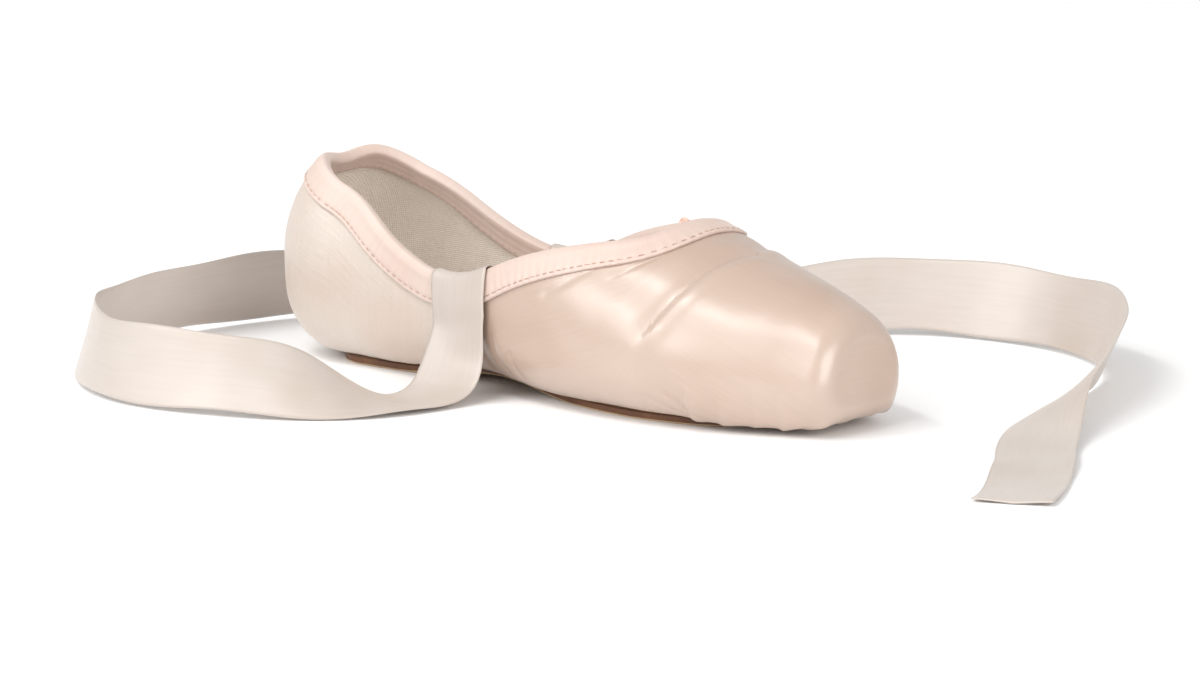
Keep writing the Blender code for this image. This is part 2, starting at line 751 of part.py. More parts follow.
# The ribbons: sewn inside at the arch, over the collar, down the side and along the floor
RIBBON_WIDTH = 0.025
RIBBON_THICKNESS = 0.0006
RIBBON_PLACE = 0.589 * LENGTH  # middle of the ribbon on the collar, from the platform
RIBBON_SEWN_DEPTH = 0.021  # how far its sewn end reaches down inside
RIBBON_HANG = 0.014  # how far it follows the outside before it falls free
RIBBON_CELLS = 6  # across
RIBBON_OUTSIDE = 3 * GAP + BINDING_THICKNESS + RIBBON_THICKNESS / 2
FLOOR_LAY = RIBBON_THICKNESS / 2 + 0.0002  # height of the middle of a ribbon that lies flat
RIBBON_STEP = 0.009
RIBBON_LEVELS = 0.024  # length in which the ribbon turns flat, below its free fall
MILLIMETRE = 0.001

# Where each ribbon runs on from the side, by hand: x, y and height over the floor, in mm, and how far
# it stands up on its outer or inner edge in its bends, in degrees
RIGHT_ROUTE = (
    (-18.2, -37.6, 14.5, 0), (-17.5, -41, 8.0, 0), (-17.2, -46, 3.2, 0), (-17.6, -53, 0.7, 0),
    (-19, -61, 0, 2), (-22, -71, 0, 12), (-28, -83, 0, 30), (-37, -94, 0, 50), (-49, -103, 0, 64),
    (-64, -109, 0, 70), (-82, -112, 0, 72),
    (-100, -110, 0, 73), (-117, -102, 0, 74), (-132, -89, 0, 74), (-143, -72, 0, 73), (-150, -52, 0, 71),
    (-153, -30, 0, 70), (-152, -7, 0, 70), (-147, 15, 0, 71), (-139, 36, 0, 70), (-128, 56, 0, 64),
    (-115, 73, 0, 52), (-101, 88, 0, 36), (-87, 102, 0, 20), (-74, 116, 0, 8), (-63, 131, 0, 0),
    (-54, 147, 0, 0),
)
LEFT_ROUTE = (
    (-18.2, 37.6, 14.5, 0), (-17.5, 41, 8.0, 0), (-17.2, 46, 3.2, 0), (-17, 53, 0.7, 0),
    (-16.5, 61, 0, 1), (-15, 74, 0, 10), (-11, 89, 0, 28), (-4, 105, 0, 46), (6, 120, 0, 58),
    (19, 133, 0, 65), (35, 143, 0, 68),
    (53, 149, 0, 68), (73, 150, 0, 68), (92, 146, 0, 70), (109, 137, 0, 71), (123, 124, 0, 70),
    (134, 108, 0, 66), (142, 91, 0, 58), (148, 74, 0, 47), (153, 57, 0, 35), (159, 41, 0, 22),
    (167, 26, 0, 10), (176, 11, 0, 2), (186, -3, 0, 0), (195, -17, 0, 0), (204, -32, 0, 0),
    (212, -48, 0, 0), (219, -64, 0, 0),
)
RIBBON_LENGTH = 0.48


def ribbon_on_shoe(side):
    """Rows of points across the ribbon, from its sewn end, over the collar and down the outside."""
    middle = collar.run_at_place(RIBBON_PLACE)
    across = np.linspace(-RIBBON_WIDTH / 2, RIBBON_WIDTH / 2, RIBBON_CELLS + 1)
    runs = middle + across
    place, around = collar.at_run(runs)
    down = np.cross(collar.heading(runs), last_normal(place, around))
    rows = []
    inner = -(SIDE_WALL + RIBBON_OUTSIDE + GAP)
    # Straight down from the ribbon's middle, so that it keeps its width
    straight = np.broadcast_to(down[len(runs) // 2], down.shape)
    for depth in np.linspace(RIBBON_SEWN_DEPTH, 0, 5):
        rows.append(grid_point(*walk(place, around, straight, depth), inner))
    over = RIBBON_OUTSIDE + 4 * GAP
    edge = last_point(place, around)
    normal = last_normal(place, around)
    middle_out = (RIBBON_OUTSIDE + inner) / 2
    half_out = (RIBBON_OUTSIDE - inner) / 2
    for turn in np.linspace(0, math.pi, 8)[1:-1]:
        out = middle_out - half_out * math.cos(turn)
        rows.append(edge + normal * out - down * over * math.sin(turn))
    for depth in np.linspace(0, RIBBON_HANG, 4):
        rows.append(grid_point(*walk(place, around, straight, depth), RIBBON_OUTSIDE))
    return [row * (1, side, 1) for row in rows]


def ribbon_lay(rows, route):
    """Rows of points across the rest of the ribbon, from the side down to the floor and along it."""
    start = rows[-1].mean(axis=0)
    points = [start]
    banks = [0.0]
    for x, y, height, bank in route:
        banks.append(math.radians(bank))
        rise = FLOOR_LAY + RIBBON_WIDTH / 2 * math.sin(banks[-1])
        points.append(np.array((x * MILLIMETRE, y * MILLIMETRE, height * MILLIMETRE + rise)))
    points = np.array(points)
    knots = np.concatenate(([0], np.cumsum(np.linalg.norm(np.diff(points, axis=0), axis=1))))
    curve = spline(knots, points)
    bank_at = spline(knots, banks)
    used = sum(np.linalg.norm(b.mean(axis=0) - a.mean(axis=0)) for a, b in zip(rows, rows[1:]))
    left = min(RIBBON_LENGTH - used, knots[-1])
    wheres = np.linspace(0, left, int(left / RIBBON_STEP) + 1)[1:]
    first = rows[-1] - start
    across = np.linspace(-RIBBON_WIDTH / 2, RIBBON_WIDTH / 2, RIBBON_CELLS + 1)
    side = first[-1] / np.linalg.norm(first[-1])
    made = []
    for where in wheres:
        ahead = (curve(where + STEP) - curve(where - STEP))[0]
        level = np.array((ahead[1], -ahead[0], 0.0))
        level = level / np.linalg.norm(level)
        if level @ side < 0:
            level = -level
        side = level
        share = float(ease(where, 0, RIBBON_LEVELS))
        bank = max(float(bank_at(where)[0, 0]), 0.0)
        middle = curve(where)[0]
        middle[2] = max(middle[2], FLOOR_LAY + RIBBON_WIDTH / 2 * math.sin(bank))
        leaning = level * math.cos(bank) + np.array((0.0, 0.0, math.sin(bank)))
        made.append(middle + first * (1 - share) + across[:, None] * leaning * share)
    return made


def make_ribbon(name, side, route):
    rows = ribbon_on_shoe(side)
    rows = rows + ribbon_lay(rows, route)
    item = add_object(name, sheet_mesh(name, [rows if side > 0 else rows[::-1]], on_plane=False))
    add_thickness(item, RIBBON_THICKNESS, 0)
    smooth_shade(item)
    add_material(item, name + " satin", (0.92, 0.84, 0.77), 0.35, 0.2)


# The drawstring's knot and its two ends behind the throat, by hand: x behind the throat's edge,
# y, and z below it, in mm, and the thickness there, as a share of the cord's
DRAWSTRING_DIAMETER = 0.002
KNOT_SHAPE = (
    (-4.6, 6.6, -17.0, 1.0), (-4.9, 6.3, -12.5, 1.0), (-5.1, 5.6, -8.2, 1.0), (-5.0, 4.4, -4.6, 1.0),
    (-4.7, 2.9, -2.0, 1.1), (-4.5, 1.6, -0.9, 2.0), (-4.5, 0.0, -0.6, 2.5), (-4.5, -1.6, -0.9, 2.0),
    (-4.8, -2.8, -2.2, 1.1), (-5.3, -4.0, -5.0, 1.0), (-5.6, -4.7, -8.8, 1.0), (-5.5, -4.9, -12.6, 1.0),
    (-5.2, -4.8, -15.4, 1.0),
)


def make_drawstring():
    """The tied cord behind the throat, with a knot and two short ends that hang inside."""
    throat = collar.point(0.0)[0]
    curve = bpy.data.curves.new("drawstring", "CURVE")
    curve.dimensions = "3D"
    curve.bevel_depth = DRAWSTRING_DIAMETER / 2
    curve.bevel_resolution = 2
    curve.use_fill_caps = True
    line = curve.splines.new("POLY")
    line.points.add(len(KNOT_SHAPE) - 1)
    for point, (x, y, z, thick) in zip(line.points, KNOT_SHAPE):
        point.co = (throat[0] + x * MILLIMETRE, y * MILLIMETRE, throat[2] + z * MILLIMETRE, 1)
        point.radius = thick
    item = add_object("drawstring", curve)
    add_material(item, "drawstring cotton", (0.90, 0.76, 0.68), 0.8)


for old in list(bpy.data.objects):
    bpy.data.objects.remove(old, do_unlink=True)
shoe = bpy.data.collections.new("pointe_shoe")
bpy.context.scene.collection.children.link(shoe)
make_upper()
make_binding()
make_side_seams()
make_back_seam()
make_outsole()
make_insole()
make_ribbon("ribbon_right", -1, RIGHT_ROUTE)
make_ribbon("ribbon_left", 1, LEFT_ROUTE)
make_drawstring()
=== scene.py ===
"""Looks of a pointe shoe: satin, lining, casing, stitched seams, pleats, leather sole and ribbons.

Metres, +Z up. The toe points along +X and +Y is the left. A place on the last is written as
(place, around): place runs back from the platform, and past the middle of the heel it turns round
the heel; around runs from 0 under the middle of the foot, by 1 at the widest height, to 2 on the
middle of the instep.
"""
import math

import bmesh
import bpy
import numpy as np
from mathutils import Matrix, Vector, noise


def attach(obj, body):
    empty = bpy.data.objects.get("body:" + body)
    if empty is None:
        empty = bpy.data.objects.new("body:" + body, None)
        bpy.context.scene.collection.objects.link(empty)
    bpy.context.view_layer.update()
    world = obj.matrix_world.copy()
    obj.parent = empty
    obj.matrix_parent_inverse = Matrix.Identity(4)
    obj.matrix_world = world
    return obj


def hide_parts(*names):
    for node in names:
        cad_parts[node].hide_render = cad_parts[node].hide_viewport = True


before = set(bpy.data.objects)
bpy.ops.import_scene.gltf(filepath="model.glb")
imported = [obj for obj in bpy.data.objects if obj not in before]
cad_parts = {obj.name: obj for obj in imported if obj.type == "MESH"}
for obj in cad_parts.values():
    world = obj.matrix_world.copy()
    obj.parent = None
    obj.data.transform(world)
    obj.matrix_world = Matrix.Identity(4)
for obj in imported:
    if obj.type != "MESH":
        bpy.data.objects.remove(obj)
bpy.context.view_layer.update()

# Sizes of the last, as in the part's source
LENGTH = 0.236
BALL_WIDTH = 0.080
PLATFORM_WIDTH = 0.041
HEEL_WIDTH = 0.0586
THROAT_HEIGHT = 0.0586
SIDE_HEIGHT = 0.036
HEEL_HEIGHT = 0.0641
VAMP_LENGTH = 0.068
THROAT_WIDTH = 0.050
PLATFORM_RIM = 0.006
FEATHER_ROUND = 0.0010
UNDERCUT = 0.0035
BOX_WALL = 0.0028
SIDE_WALL = 0.0016
SOLE_THICKNESS = 0.0025
SOLE_TIP_THICKNESS = 0.0010
INSOLE_THICKNESS = 0.0018
BINDING_THICKNESS = 0.0008
SEAM_THICKNESS = 0.0005
GAP = 0.0003
SOLE_FRONT = 0.1356 * LENGTH
SOLE_END = 0.894 * LENGTH
SOLE_BALL_WIDTH = 0.056
SOLE_WAIST_WIDTH = 0.032
SOLE_HEEL_WIDTH = 0.037
TOE_SPRING = 0.0004
TOE_LIFT = 0.0022
ARCH_RISE = 0.0032
BINDING_DEPTH = 0.009
BINDING_INSIDE = 0.007
SIDE_SEAM_WIDTH = 0.004
SIDE_SEAM_TOP = 0.610 * LENGTH
SIDE_SEAM_FOOT = 0.644 * LENGTH
BACK_SEAM_WIDTH = 0.003
MARGIN = 0.009
MARGIN_FRONT = SOLE_FRONT + MARGIN
HEEL_CENTRE = 0.847 * LENGTH
HEEL_TURN = HEEL_WIDTH / 2
HEEL_BACK = HEEL_CENTRE + HEEL_TURN * math.pi / 2
HEEL_REACH = LENGTH - HEEL_CENTRE - GAP - SEAM_THICKNESS
QUARTER = math.pi / 2
MILLIMETRE = 0.001

SECTIONS = (
    (0.000, 1.000, PLATFORM_WIDTH, 0.290, 0.614, THROAT_HEIGHT, 2.10, 1.70, 2.6),
    (0.052, 0.615, BALL_WIDTH, 0.290, 0.712, THROAT_HEIGHT, 2.05, 1.66, 2.9),
    (0.127, 0.805, BALL_WIDTH, 0.316, 0.812, THROAT_HEIGHT, 2.00, 1.68, 3.2),
    (0.212, 0.945, BALL_WIDTH, 0.350, 0.910, THROAT_HEIGHT, 2.00, 1.76, 3.3),
    (0.297, 1.000, BALL_WIDTH, 0.380, 1.012, THROAT_HEIGHT, 2.00, 1.88, 3.2),
    (0.402, 0.972, BALL_WIDTH, 0.400, 1.075, THROAT_HEIGHT, 2.00, 1.98, 3.0),
    (0.530, 0.860, BALL_WIDTH, 0.390, 1.100, THROAT_HEIGHT, 2.00, 2.00, 2.8),
    (0.636, 1.055, HEEL_WIDTH, 0.365, 1.030, HEEL_HEIGHT, 2.00, 2.00, 2.7),
    (0.763, 1.005, HEEL_WIDTH, 0.420, 1.084, HEEL_HEIGHT, 2.00, 2.00, 2.8),
)
HEEL_SECTIONS = (
    (0.0, 0.500, HEEL_WIDTH, 0.468, 1.120, HEEL_HEIGHT, 2.00, 2.00, 2.8),
    (0.5, 0.910, HEEL_REACH, 0.499, 1.160, HEEL_HEIGHT, 2.00, 2.00, 2.7),
    (1.0, 1.000, HEEL_REACH, 0.515, 1.081, HEEL_HEIGHT, 2.00, 2.00, 2.6),
)
THROAT_ROWS = ((0.000, 0.00), (0.016, 0.42), (0.110, 0.77), (0.300, 0.98))
COLLAR_ROWS = (
    (0.419, 0.855, THROAT_HEIGHT),
    (0.513, 0.735, THROAT_HEIGHT),
    (0.572, 1.035, SIDE_HEIGHT),
    (0.636, 1.000, SIDE_HEIGHT),
    (0.692, 1.105, SIDE_HEIGHT),
    (0.752, 0.735, HEEL_HEIGHT),
    (0.826, 0.893, HEEL_HEIGHT),
)
HEEL_COLLAR_ROWS = ((0.30, 0.985, HEEL_HEIGHT), (0.62, 1.022, HEEL_HEIGHT), (1.00, 1.000, HEEL_HEIGHT))
MARGIN_ROWS = (
    (0.004, 0.30, SOLE_BALL_WIDTH),
    (0.055, 0.62, SOLE_BALL_WIDTH),
    (0.170, 1.00, SOLE_BALL_WIDTH),
    (0.380, 0.86, SOLE_BALL_WIDTH),
    (0.620, 1.00, SOLE_WAIST_WIDTH),
    (0.800, 1.00, SOLE_HEEL_WIDTH),
)
HEEL_MARGIN_ROWS = ((0.0, 0.55), (0.5, 0.45), (1.0, 0.40))


# The last's surface, as in the part's source
def spline(knots, values):
    """Return a smooth function through the knots, with one column for each column of values."""
    knots = np.asarray(knots, float)
    values = np.asarray(values, float).reshape(len(knots), -1)
    steps = np.diff(knots)
    count = len(knots)
    system = np.eye(count)
    right = np.zeros_like(values)
    slopes = np.diff(values, axis=0) / steps[:, None]
    for i in range(1, count - 1):
        system[i, i - 1] = steps[i - 1]
        system[i, i] = 2 * (steps[i - 1] + steps[i])
        system[i, i + 1] = steps[i]
        right[i] = 6 * (slopes[i] - slopes[i - 1])
    bends = np.linalg.solve(system, right)

    def at(where):
        where = np.atleast_1d(np.asarray(where, float))
        i = np.clip(np.searchsorted(knots, where) - 1, 0, count - 2)
        width = steps[i][:, None]
        near = (where - knots[i])[:, None]
        far = width - near
        return (
            (bends[i] * far**3 + bends[i + 1] * near**3) / (6 * width)
            + (values[i] / width - bends[i] * width / 6) * far
            + (values[i + 1] / width - bends[i + 1] * width / 6) * near
        )

    return at


def run_along(points):
    """Distance from a line's first point to each of its points."""
    return np.concatenate(([0], np.cumsum(np.linalg.norm(np.diff(points, axis=0), axis=1))))


def unit(vectors):
    """The same directions, each of length one."""
    return vectors / np.linalg.norm(vectors, axis=-1, keepdims=True)


def last_sections():
    knots = []
    rows = []
    for place, width, width_of, widest, crown, height_of, top, shoulder, low in SECTIONS:
        knots.append(place * LENGTH)
        rows.append((width * width_of / 2, widest * height_of, crown * height_of, top, shoulder, low))
    for turn, reach, reach_of, widest, crown, height_of, top, shoulder, low in HEEL_SECTIONS:
        knots.append(HEEL_CENTRE + turn * QUARTER * HEEL_TURN)
        rows.append((reach * reach_of, widest * height_of, crown * height_of, top, shoulder, low))
    beyond = [2 * knots[-1] - knot for knot in knots[-2::-1]]
    return spline(knots + beyond, rows + rows[-2::-1])


section_at = last_sections()


def ease(value, start, end):
    """Go from 0 at start to 1 at end, level at both."""
    share = np.clip((np.asarray(value, float) - start) / (end - start), 0, 1)
    return share * share * (3 - 2 * share)


def floor_clearance(place):
    """Height of the sole's underside above the floor."""
    rising = ease(place, 0.42 * LENGTH, 0.58 * LENGTH)
    falling = 1 - ease(place, 0.58 * LENGTH, 0.75 * LENGTH)
    spring = 1 - ease(place, SOLE_FRONT, 0.21 * LENGTH)
    return ARCH_RISE * rising * falling + TOE_SPRING * spring


def sole_thickness(place):
    return SOLE_TIP_THICKNESS + (SOLE_THICKNESS - SOLE_TIP_THICKNESS) * ease(place, SOLE_FRONT, 0.22 * LENGTH)


def seat(place):
    """Height of the upper's underside."""
    lift = TOE_LIFT * (1 - ease(place, 0, 0.075 * LENGTH))
    return floor_clearance(place) + sole_thickness(place) + GAP + lift


def wall(place):
    """Thickness of the upper, from the box to the quarters."""
    box_end = VAMP_LENGTH - BINDING_DEPTH
    return BOX_WALL + (SIDE_WALL - BOX_WALL) * ease(place, 0.6 * box_end, box_end)


def signed_power(value, power):
    return np.sign(value) * np.abs(value) ** power


def section_point(place, around):
    """Distance from the middle line and height, on the last's section at a place."""
    half, widest, crown, top, shoulder, low = section_at(place).T
    bottom = seat(place)
    down = (1 - around) * QUARTER
    up = (around - 1) * QUARTER
    low_out = half * signed_power(np.cos(down), 2 / low)
    low_height = widest - (widest - bottom + UNDERCUT) * signed_power(np.sin(down), 2 / low)
    over = low_height - bottom
    low_height = bottom + (over + np.sqrt(over**2 + FEATHER_ROUND**2)) / 2
    top_out = half * signed_power(np.cos(up), 2 / top)
    joined = (widest + bottom + np.sqrt((widest - bottom) ** 2 + FEATHER_ROUND**2)) / 2
    top_height = joined + (crown - joined) * signed_power(np.sin(up), 2 / shoulder)
    out = np.where(around < 1, low_out, top_out)
    height = np.where(around < 1, low_height, top_height)
    near = np.clip(PLATFORM_RIM - place, 0, PLATFORM_RIM)
    inset = PLATFORM_RIM - np.sqrt(PLATFORM_RIM**2 - near**2)
    middle = (crown + bottom) / 2
    out = out * (1 - inset / half)
    height = middle + (height - middle) * (1 - inset / (crown - middle))
    return out, height


def last_point(place, around):
    """Points of the last's left half in space, one row each."""
    place = np.atleast_1d(np.asarray(place, float))
    around = np.broadcast_to(np.asarray(around, float), place.shape)
    out, height = section_point(place, around)
    turn = np.clip((place - HEEL_CENTRE) / HEEL_TURN, 0, None)
    back = np.minimum(place, HEEL_CENTRE) + out * np.sin(turn)
    return np.stack((LENGTH / 2 - back, out * np.cos(turn), height), axis=1)


STEP = 1e-5


def last_slopes(place, around):
    """How the point moves with place and with around."""
    along = (last_point(place + STEP, around) - last_point(place - STEP, around)) / (2 * STEP)
    round_it = (last_point(place, around + STEP) - last_point(place, around - STEP)) / (2 * STEP)
    return along, round_it


def last_normal(place, around):
    """Outward directions of the last."""
    return unit(np.cross(*last_slopes(place, around)))


def walk(place, around, heading, distance, stages=3):
    """Move over the last along a direction in space by a distance."""
    place = np.array(place, float)
    around = np.array(around, float)
    for _ in range(stages):
        along, round_it = last_slopes(place, around)
        for i in range(len(place)):
            basis = np.stack((along[i], round_it[i]), axis=1)
            moved = np.linalg.lstsq(basis, heading[i] * distance / stages, rcond=None)[0]
            place[i] += moved[0]
            around[i] += moved[1]
    return place, around


def around_at_height(place, height):
    half, widest, crown, top, shoulder, low = section_at(place)[0]
    return 1 + math.asin(((height - widest) / (crown - widest)) ** (shoulder / 2)) / QUARTER


def around_at_width(place, half_width):
    half, widest, crown, top, shoulder, low = section_at(place)[0]
    return 1 + math.acos((half_width / half) ** (top / 2)) / QUARTER


def around_under(place, half_width):
    half, widest, crown, top, shoulder, low = section_at(place)[0]
    return 1 - math.acos((half_width / half) ** (low / 2)) / QUARTER


class Edge:
    """A smooth edge over the last's left half, from one middle line to the other."""

    def __init__(self, places, arounds, middle):
        knots = run_along(last_point(places, arounds))
        points = np.stack((places, arounds), axis=1)
        before = points[:0:-1] * (1, -1) + (0, 2 * middle)
        after = points[-2::-1] * (-1, 1) + (2 * points[-1][0], 0)
        run = knots[-1]
        knots = np.concatenate((-knots[:0:-1], knots, 2 * run - knots[-2::-1]))
        self.curve = spline(knots, np.concatenate((before, points, after)))
        self.dense = np.linspace(0, run, 600)
        self.run = run_along(last_point(*self.curve(self.dense).T))
        self.length = self.run[-1]

    def at_run(self, run):
        """Place and around at a distance along the edge."""
        return self.curve(np.interp(run, self.run, self.dense)).T

    def run_at_place(self, place):
        """Distance along the edge to a place, behind its rounded front."""
        places = np.maximum.accumulate(self.curve(self.dense)[:, 0])
        return np.interp(place, places, self.run)

    def heading(self, run):
        """Direction of the edge, from the front to the back."""
        return unit(self.point(run + STEP * 10) - self.point(run - STEP * 10))

    def point(self, run):
        """Point in space, also a little past either end, on the mirrored side."""
        run = np.atleast_1d(np.asarray(run, float))
        folded = np.where(run < 0, -run, np.where(run > self.length, 2 * self.length - run, run))
        points = last_point(*self.at_run(folded))
        beyond = (run < 0) | (run > self.length)
        points[beyond, 1] *= -1
        return points


def collar_edge():
    places = []
    arounds = []
    for behind, out in THROAT_ROWS:
        places.append(VAMP_LENGTH + behind * THROAT_WIDTH)
        arounds.append(around_at_width(places[-1], out * THROAT_WIDTH / 2))
    for share, height, height_of in COLLAR_ROWS:
        places.append(share * LENGTH)
        arounds.append(around_at_height(places[-1], height * height_of))
    for turn, height, height_of in HEEL_COLLAR_ROWS:
        places.append(HEEL_CENTRE + turn * QUARTER * HEEL_TURN)
        arounds.append(around_at_height(places[-1], height * height_of))
    return Edge(places, arounds, middle=2)


def margin_edge():
    """The inner edge of the upper's turned-in margin."""
    places = [MARGIN_FRONT]
    arounds = [0.0]
    run = HEEL_CENTRE - MARGIN_FRONT
    for share, out, out_of in MARGIN_ROWS:
        places.append(MARGIN_FRONT + share * run)
        arounds.append(around_under(places[-1], out * (out_of / 2 - MARGIN)))
    for turn, out in HEEL_MARGIN_ROWS:
        places.append(HEEL_CENTRE + turn * QUARTER * HEEL_TURN)
        arounds.append(around_under(places[-1], out * (SOLE_END - HEEL_CENTRE)))
    return Edge(places, arounds, middle=0)


collar = collar_edge()
margin = margin_edge()


def collar_line(runs, depth):
    """Place and around at a depth below the collar's edge."""
    place, around = collar.at_run(runs)
    down = np.cross(collar.heading(runs), last_normal(place, around))
    if depth:
        place, around = walk(place, around, down, depth)
    if runs[0] == 0:
        around[0] = 2.0
    if runs[-1] >= collar.length - 1e-9:
        place[-1] = HEEL_BACK
    return place, around


# How finely each piece is divided
FINE = 1.0


def cells(count):
    return max(2, int(round(count * FINE)))


RIM_CELLS = cells(12)
BOX_CELLS = cells(56)
VAMP_CELLS = cells(22)
FRONT_CELLS = cells(150)
BACK_CELLS = cells(110)
BODY_ROWS = cells(108)
BAND_ROWS = cells(10)


def front_columns(box_cells, vamp_cells, rim_cells):
    """Feet and heads of the columns of the box and the vamp, whose heads are on the middle line."""
    feet = []
    heads = []
    for i in range(rim_cells):
        place = PLATFORM_RIM * (1 - math.cos(QUARTER * i / rim_cells))
        feet.append((place, 0.0))
        heads.append((place, 2.0))
    head_end = VAMP_LENGTH - BINDING_DEPTH
    head_middle = PLATFORM_RIM + (head_end - PLATFORM_RIM) * 5 / 8
    for i in range(box_cells):
        share = i / box_cells
        feet.append((PLATFORM_RIM + (MARGIN_FRONT - PLATFORM_RIM) * share, 0.0))
        heads.append((PLATFORM_RIM + (head_middle - PLATFORM_RIM) * share, 2.0))
    for i in range(vamp_cells):
        share = i / vamp_cells
        foot = margin.at_run(np.array([BINDING_DEPTH * 2 * share]))
        feet.append((foot[0][0], foot[1][0]))
        heads.append((head_middle + (head_end - head_middle) * share, 2.0))
    return feet, heads


def seam_runs():
    """Runs of the side seam's middle, along the collar and along the margin."""
    head = collar.run_at_place(SIDE_SEAM_TOP + SIDE_SEAM_WIDTH / 2)
    foot = margin.run_at_place(SIDE_SEAM_FOOT + SIDE_SEAM_WIDTH / 2)
    return head, foot


SEAM_HEAD, SEAM_FOOT = seam_runs()


def open_columns(head_runs, foot_runs, end_depth):
    """Feet, and heads on the line at a depth below the collar's edge."""
    return list(zip(*margin.at_run(foot_runs))), list(zip(*collar_line(head_runs, end_depth)))


def body_grid(feet, heads, rows, crowd=0.0):
    """Place and around on a grid of columns, from foot to head. crowd draws the rows to both ends."""
    share = np.linspace(0, 1, rows + 1)[None, :]
    share = share - crowd * np.sin(share * 2 * math.pi)
    feet = np.array(feet)[:, None, :]
    heads = np.array(heads)[:, None, :]
    grid = feet + (heads - feet) * share[:, :, None]
    return grid[:, :, 0], grid[:, :, 1]


def band_grid(head_runs, start_depth, rows):
    """Place and around over the band below the collar's edge, without its lowest row."""
    places = []
    arounds = []
    for depth in np.linspace(start_depth, 0, rows + 1)[1:]:
        place, around = collar_line(head_runs, depth)
        places.append(place)
        arounds.append(around)
    return np.array(places).T, np.array(arounds).T


def lift(place, around, out):
    """Points off the last by a distance, for arrays of any shape."""
    shape = np.shape(place)
    flat_place = np.ravel(place)
    flat_around = np.ravel(around)
    points = last_point(flat_place, flat_around)
    points = points + last_normal(flat_place, flat_around) * np.ravel(np.broadcast_to(out, shape))[:, None]
    return points.reshape(*shape, 3)


# Folds and creases, placed in the shoe's own sizes
def bump(distance, width):
    """A soft ridge's height at a distance from its line."""
    return np.exp(-((distance / width) ** 2))


def rough(points, size, seed):
    """Soft random height between about -1 and 1 over the surface, the same at each run."""
    flat = points.reshape(-1, 3) / size
    values = [noise.noise(Vector(point) + Vector((seed, seed * 0.37, 1.7))) for point in flat]
    return np.array(values).reshape(points.shape[:-1])


# Pleats under the toe: the angle of each one's line, from the sole's tip, in degrees, and its height
PLEAT_CENTRE = SOLE_FRONT + 0.014
PLEAT_FAN = (-84, -66, -50, -35, -21, -7, 8, 21, 34, 49, 65, 83)
PLEAT_HEIGHT = 0.0011
PLEAT_REACH = 0.052


def pleats(points):
    """Folded pleats that fan from the sole's tip to the platform's rim and the sides' lower edge."""
    x, y, z = points[..., 0], points[..., 1], points[..., 2]
    behind = PLEAT_CENTRE - (LENGTH / 2 - x)
    distance = np.hypot(behind, y)
    angle = np.degrees(np.arctan2(y, behind))
    height = np.zeros_like(x)
    for i, middle in enumerate(PLEAT_FAN):
        # Each pleat is steep on one side and lies over on the other
        off = (angle - middle) + 2.0 * np.sin(distance * 260 + i)
        width = 3.4 + 1.2 * math.sin(i * 2.1)
        height += bump(off, np.where(off < 0, 0.45, 1.7) * width) * (0.75 + 0.25 * math.cos(i * 1.7))
    # They start under the sole's tip, and fade up the side
    under = ease(distance, 0.006, 0.014) * (1 - ease(distance, PLEAT_REACH * 0.86, PLEAT_REACH))
    low = 1 - ease(z, 0.0060, 0.0175)
    flat_part = 1 - 0.35 * ease(0.006 - z, 0.0, 0.0025)
    off_face = ease(LENGTH / 2 - x, 0.0008, 0.0045)
    return (height - 0.45) * PLEAT_HEIGHT * under * low * flat_part * off_face


# Creases on the last. side: +1 left, -1 right. points: mm from the platform, and around. depth (troughs
# are negative) and half width in mm, and how much wider the side towards the heel is
CREASES = (
    # The vamp's crease, from in front of the throat down the outer side, as in the photograph
    (-1, ((44.5, 1.98), (47, 1.80), (50.5, 1.56), (55.5, 1.32), (62, 1.08)), -1.35, 1.15, 3.4),
    (-1, ((39.5, 1.95), (42.5, 1.76), (46.5, 1.53), (51.5, 1.30), (58, 1.09)), 0.70, 2.5, 1.0),
    (-1, ((54, 1.93), (57, 1.79), (61, 1.60), (66, 1.40), (72, 1.22)), 0.35, 3.0, 1.0),
    # Its weaker twin on the other side
    (1, ((46.5, 1.94), (50.5, 1.76), (56, 1.54), (62, 1.36)), -0.60, 1.6, 2.4),
    (1, ((42.5, 1.92), (46.5, 1.74), (52, 1.52), (58, 1.34)), 0.35, 2.6, 1.0),
    # Short folds below the casing at the throat's corners
    (-1, ((66, 1.62), (72, 1.48), (79, 1.38)), -0.35, 1.3, 1.0),
    (-1, ((86, 1.40), (95, 1.28), (103, 1.20)), -0.30, 1.8, 1.0),
    (1, ((67, 1.62), (74, 1.47), (82, 1.36)), -0.30, 1.4, 1.0),
    # Wrinkles where the arch bends, above the sole's edge
    (-1, ((119, 0.62), (122, 0.85), (124, 1.05)), -0.50, 1.2, 1.0),
    (-1, ((126, 0.60), (129, 0.88), (132, 1.14)), -0.60, 1.3, 1.0),
    (-1, ((133, 0.62), (136, 0.84), (138, 1.00)), -0.45, 1.2, 1.0),
    (-1, ((112, 0.62), (114, 0.78), (115, 0.92)), -0.35, 1.1, 1.0),
    (1, ((119, 0.62), (122, 0.85), (124, 1.03)), -0.45, 1.2, 1.0),
    (1, ((126, 0.60), (130, 0.88), (133, 1.12)), -0.55, 1.3, 1.0),
    (1, ((134, 0.62), (137, 0.83), (139, 0.98)), -0.42, 1.2, 1.0),
    # Small folds at the sole's front corners
    (-1, ((40, 0.58), (46, 0.74), (53, 0.90)), -0.50, 1.0, 1.0),
    (-1, ((47, 0.58), (53, 0.70), (60, 0.82)), -0.35, 1.0, 1.0),
    (1, ((41, 0.58), (47, 0.73), (54, 0.88)), -0.45, 1.0, 1.0),
    (1, ((48, 0.58), (54, 0.70), (60, 0.80)), -0.32, 1.0, 1.0),
)
CREASE_POINTS = 40
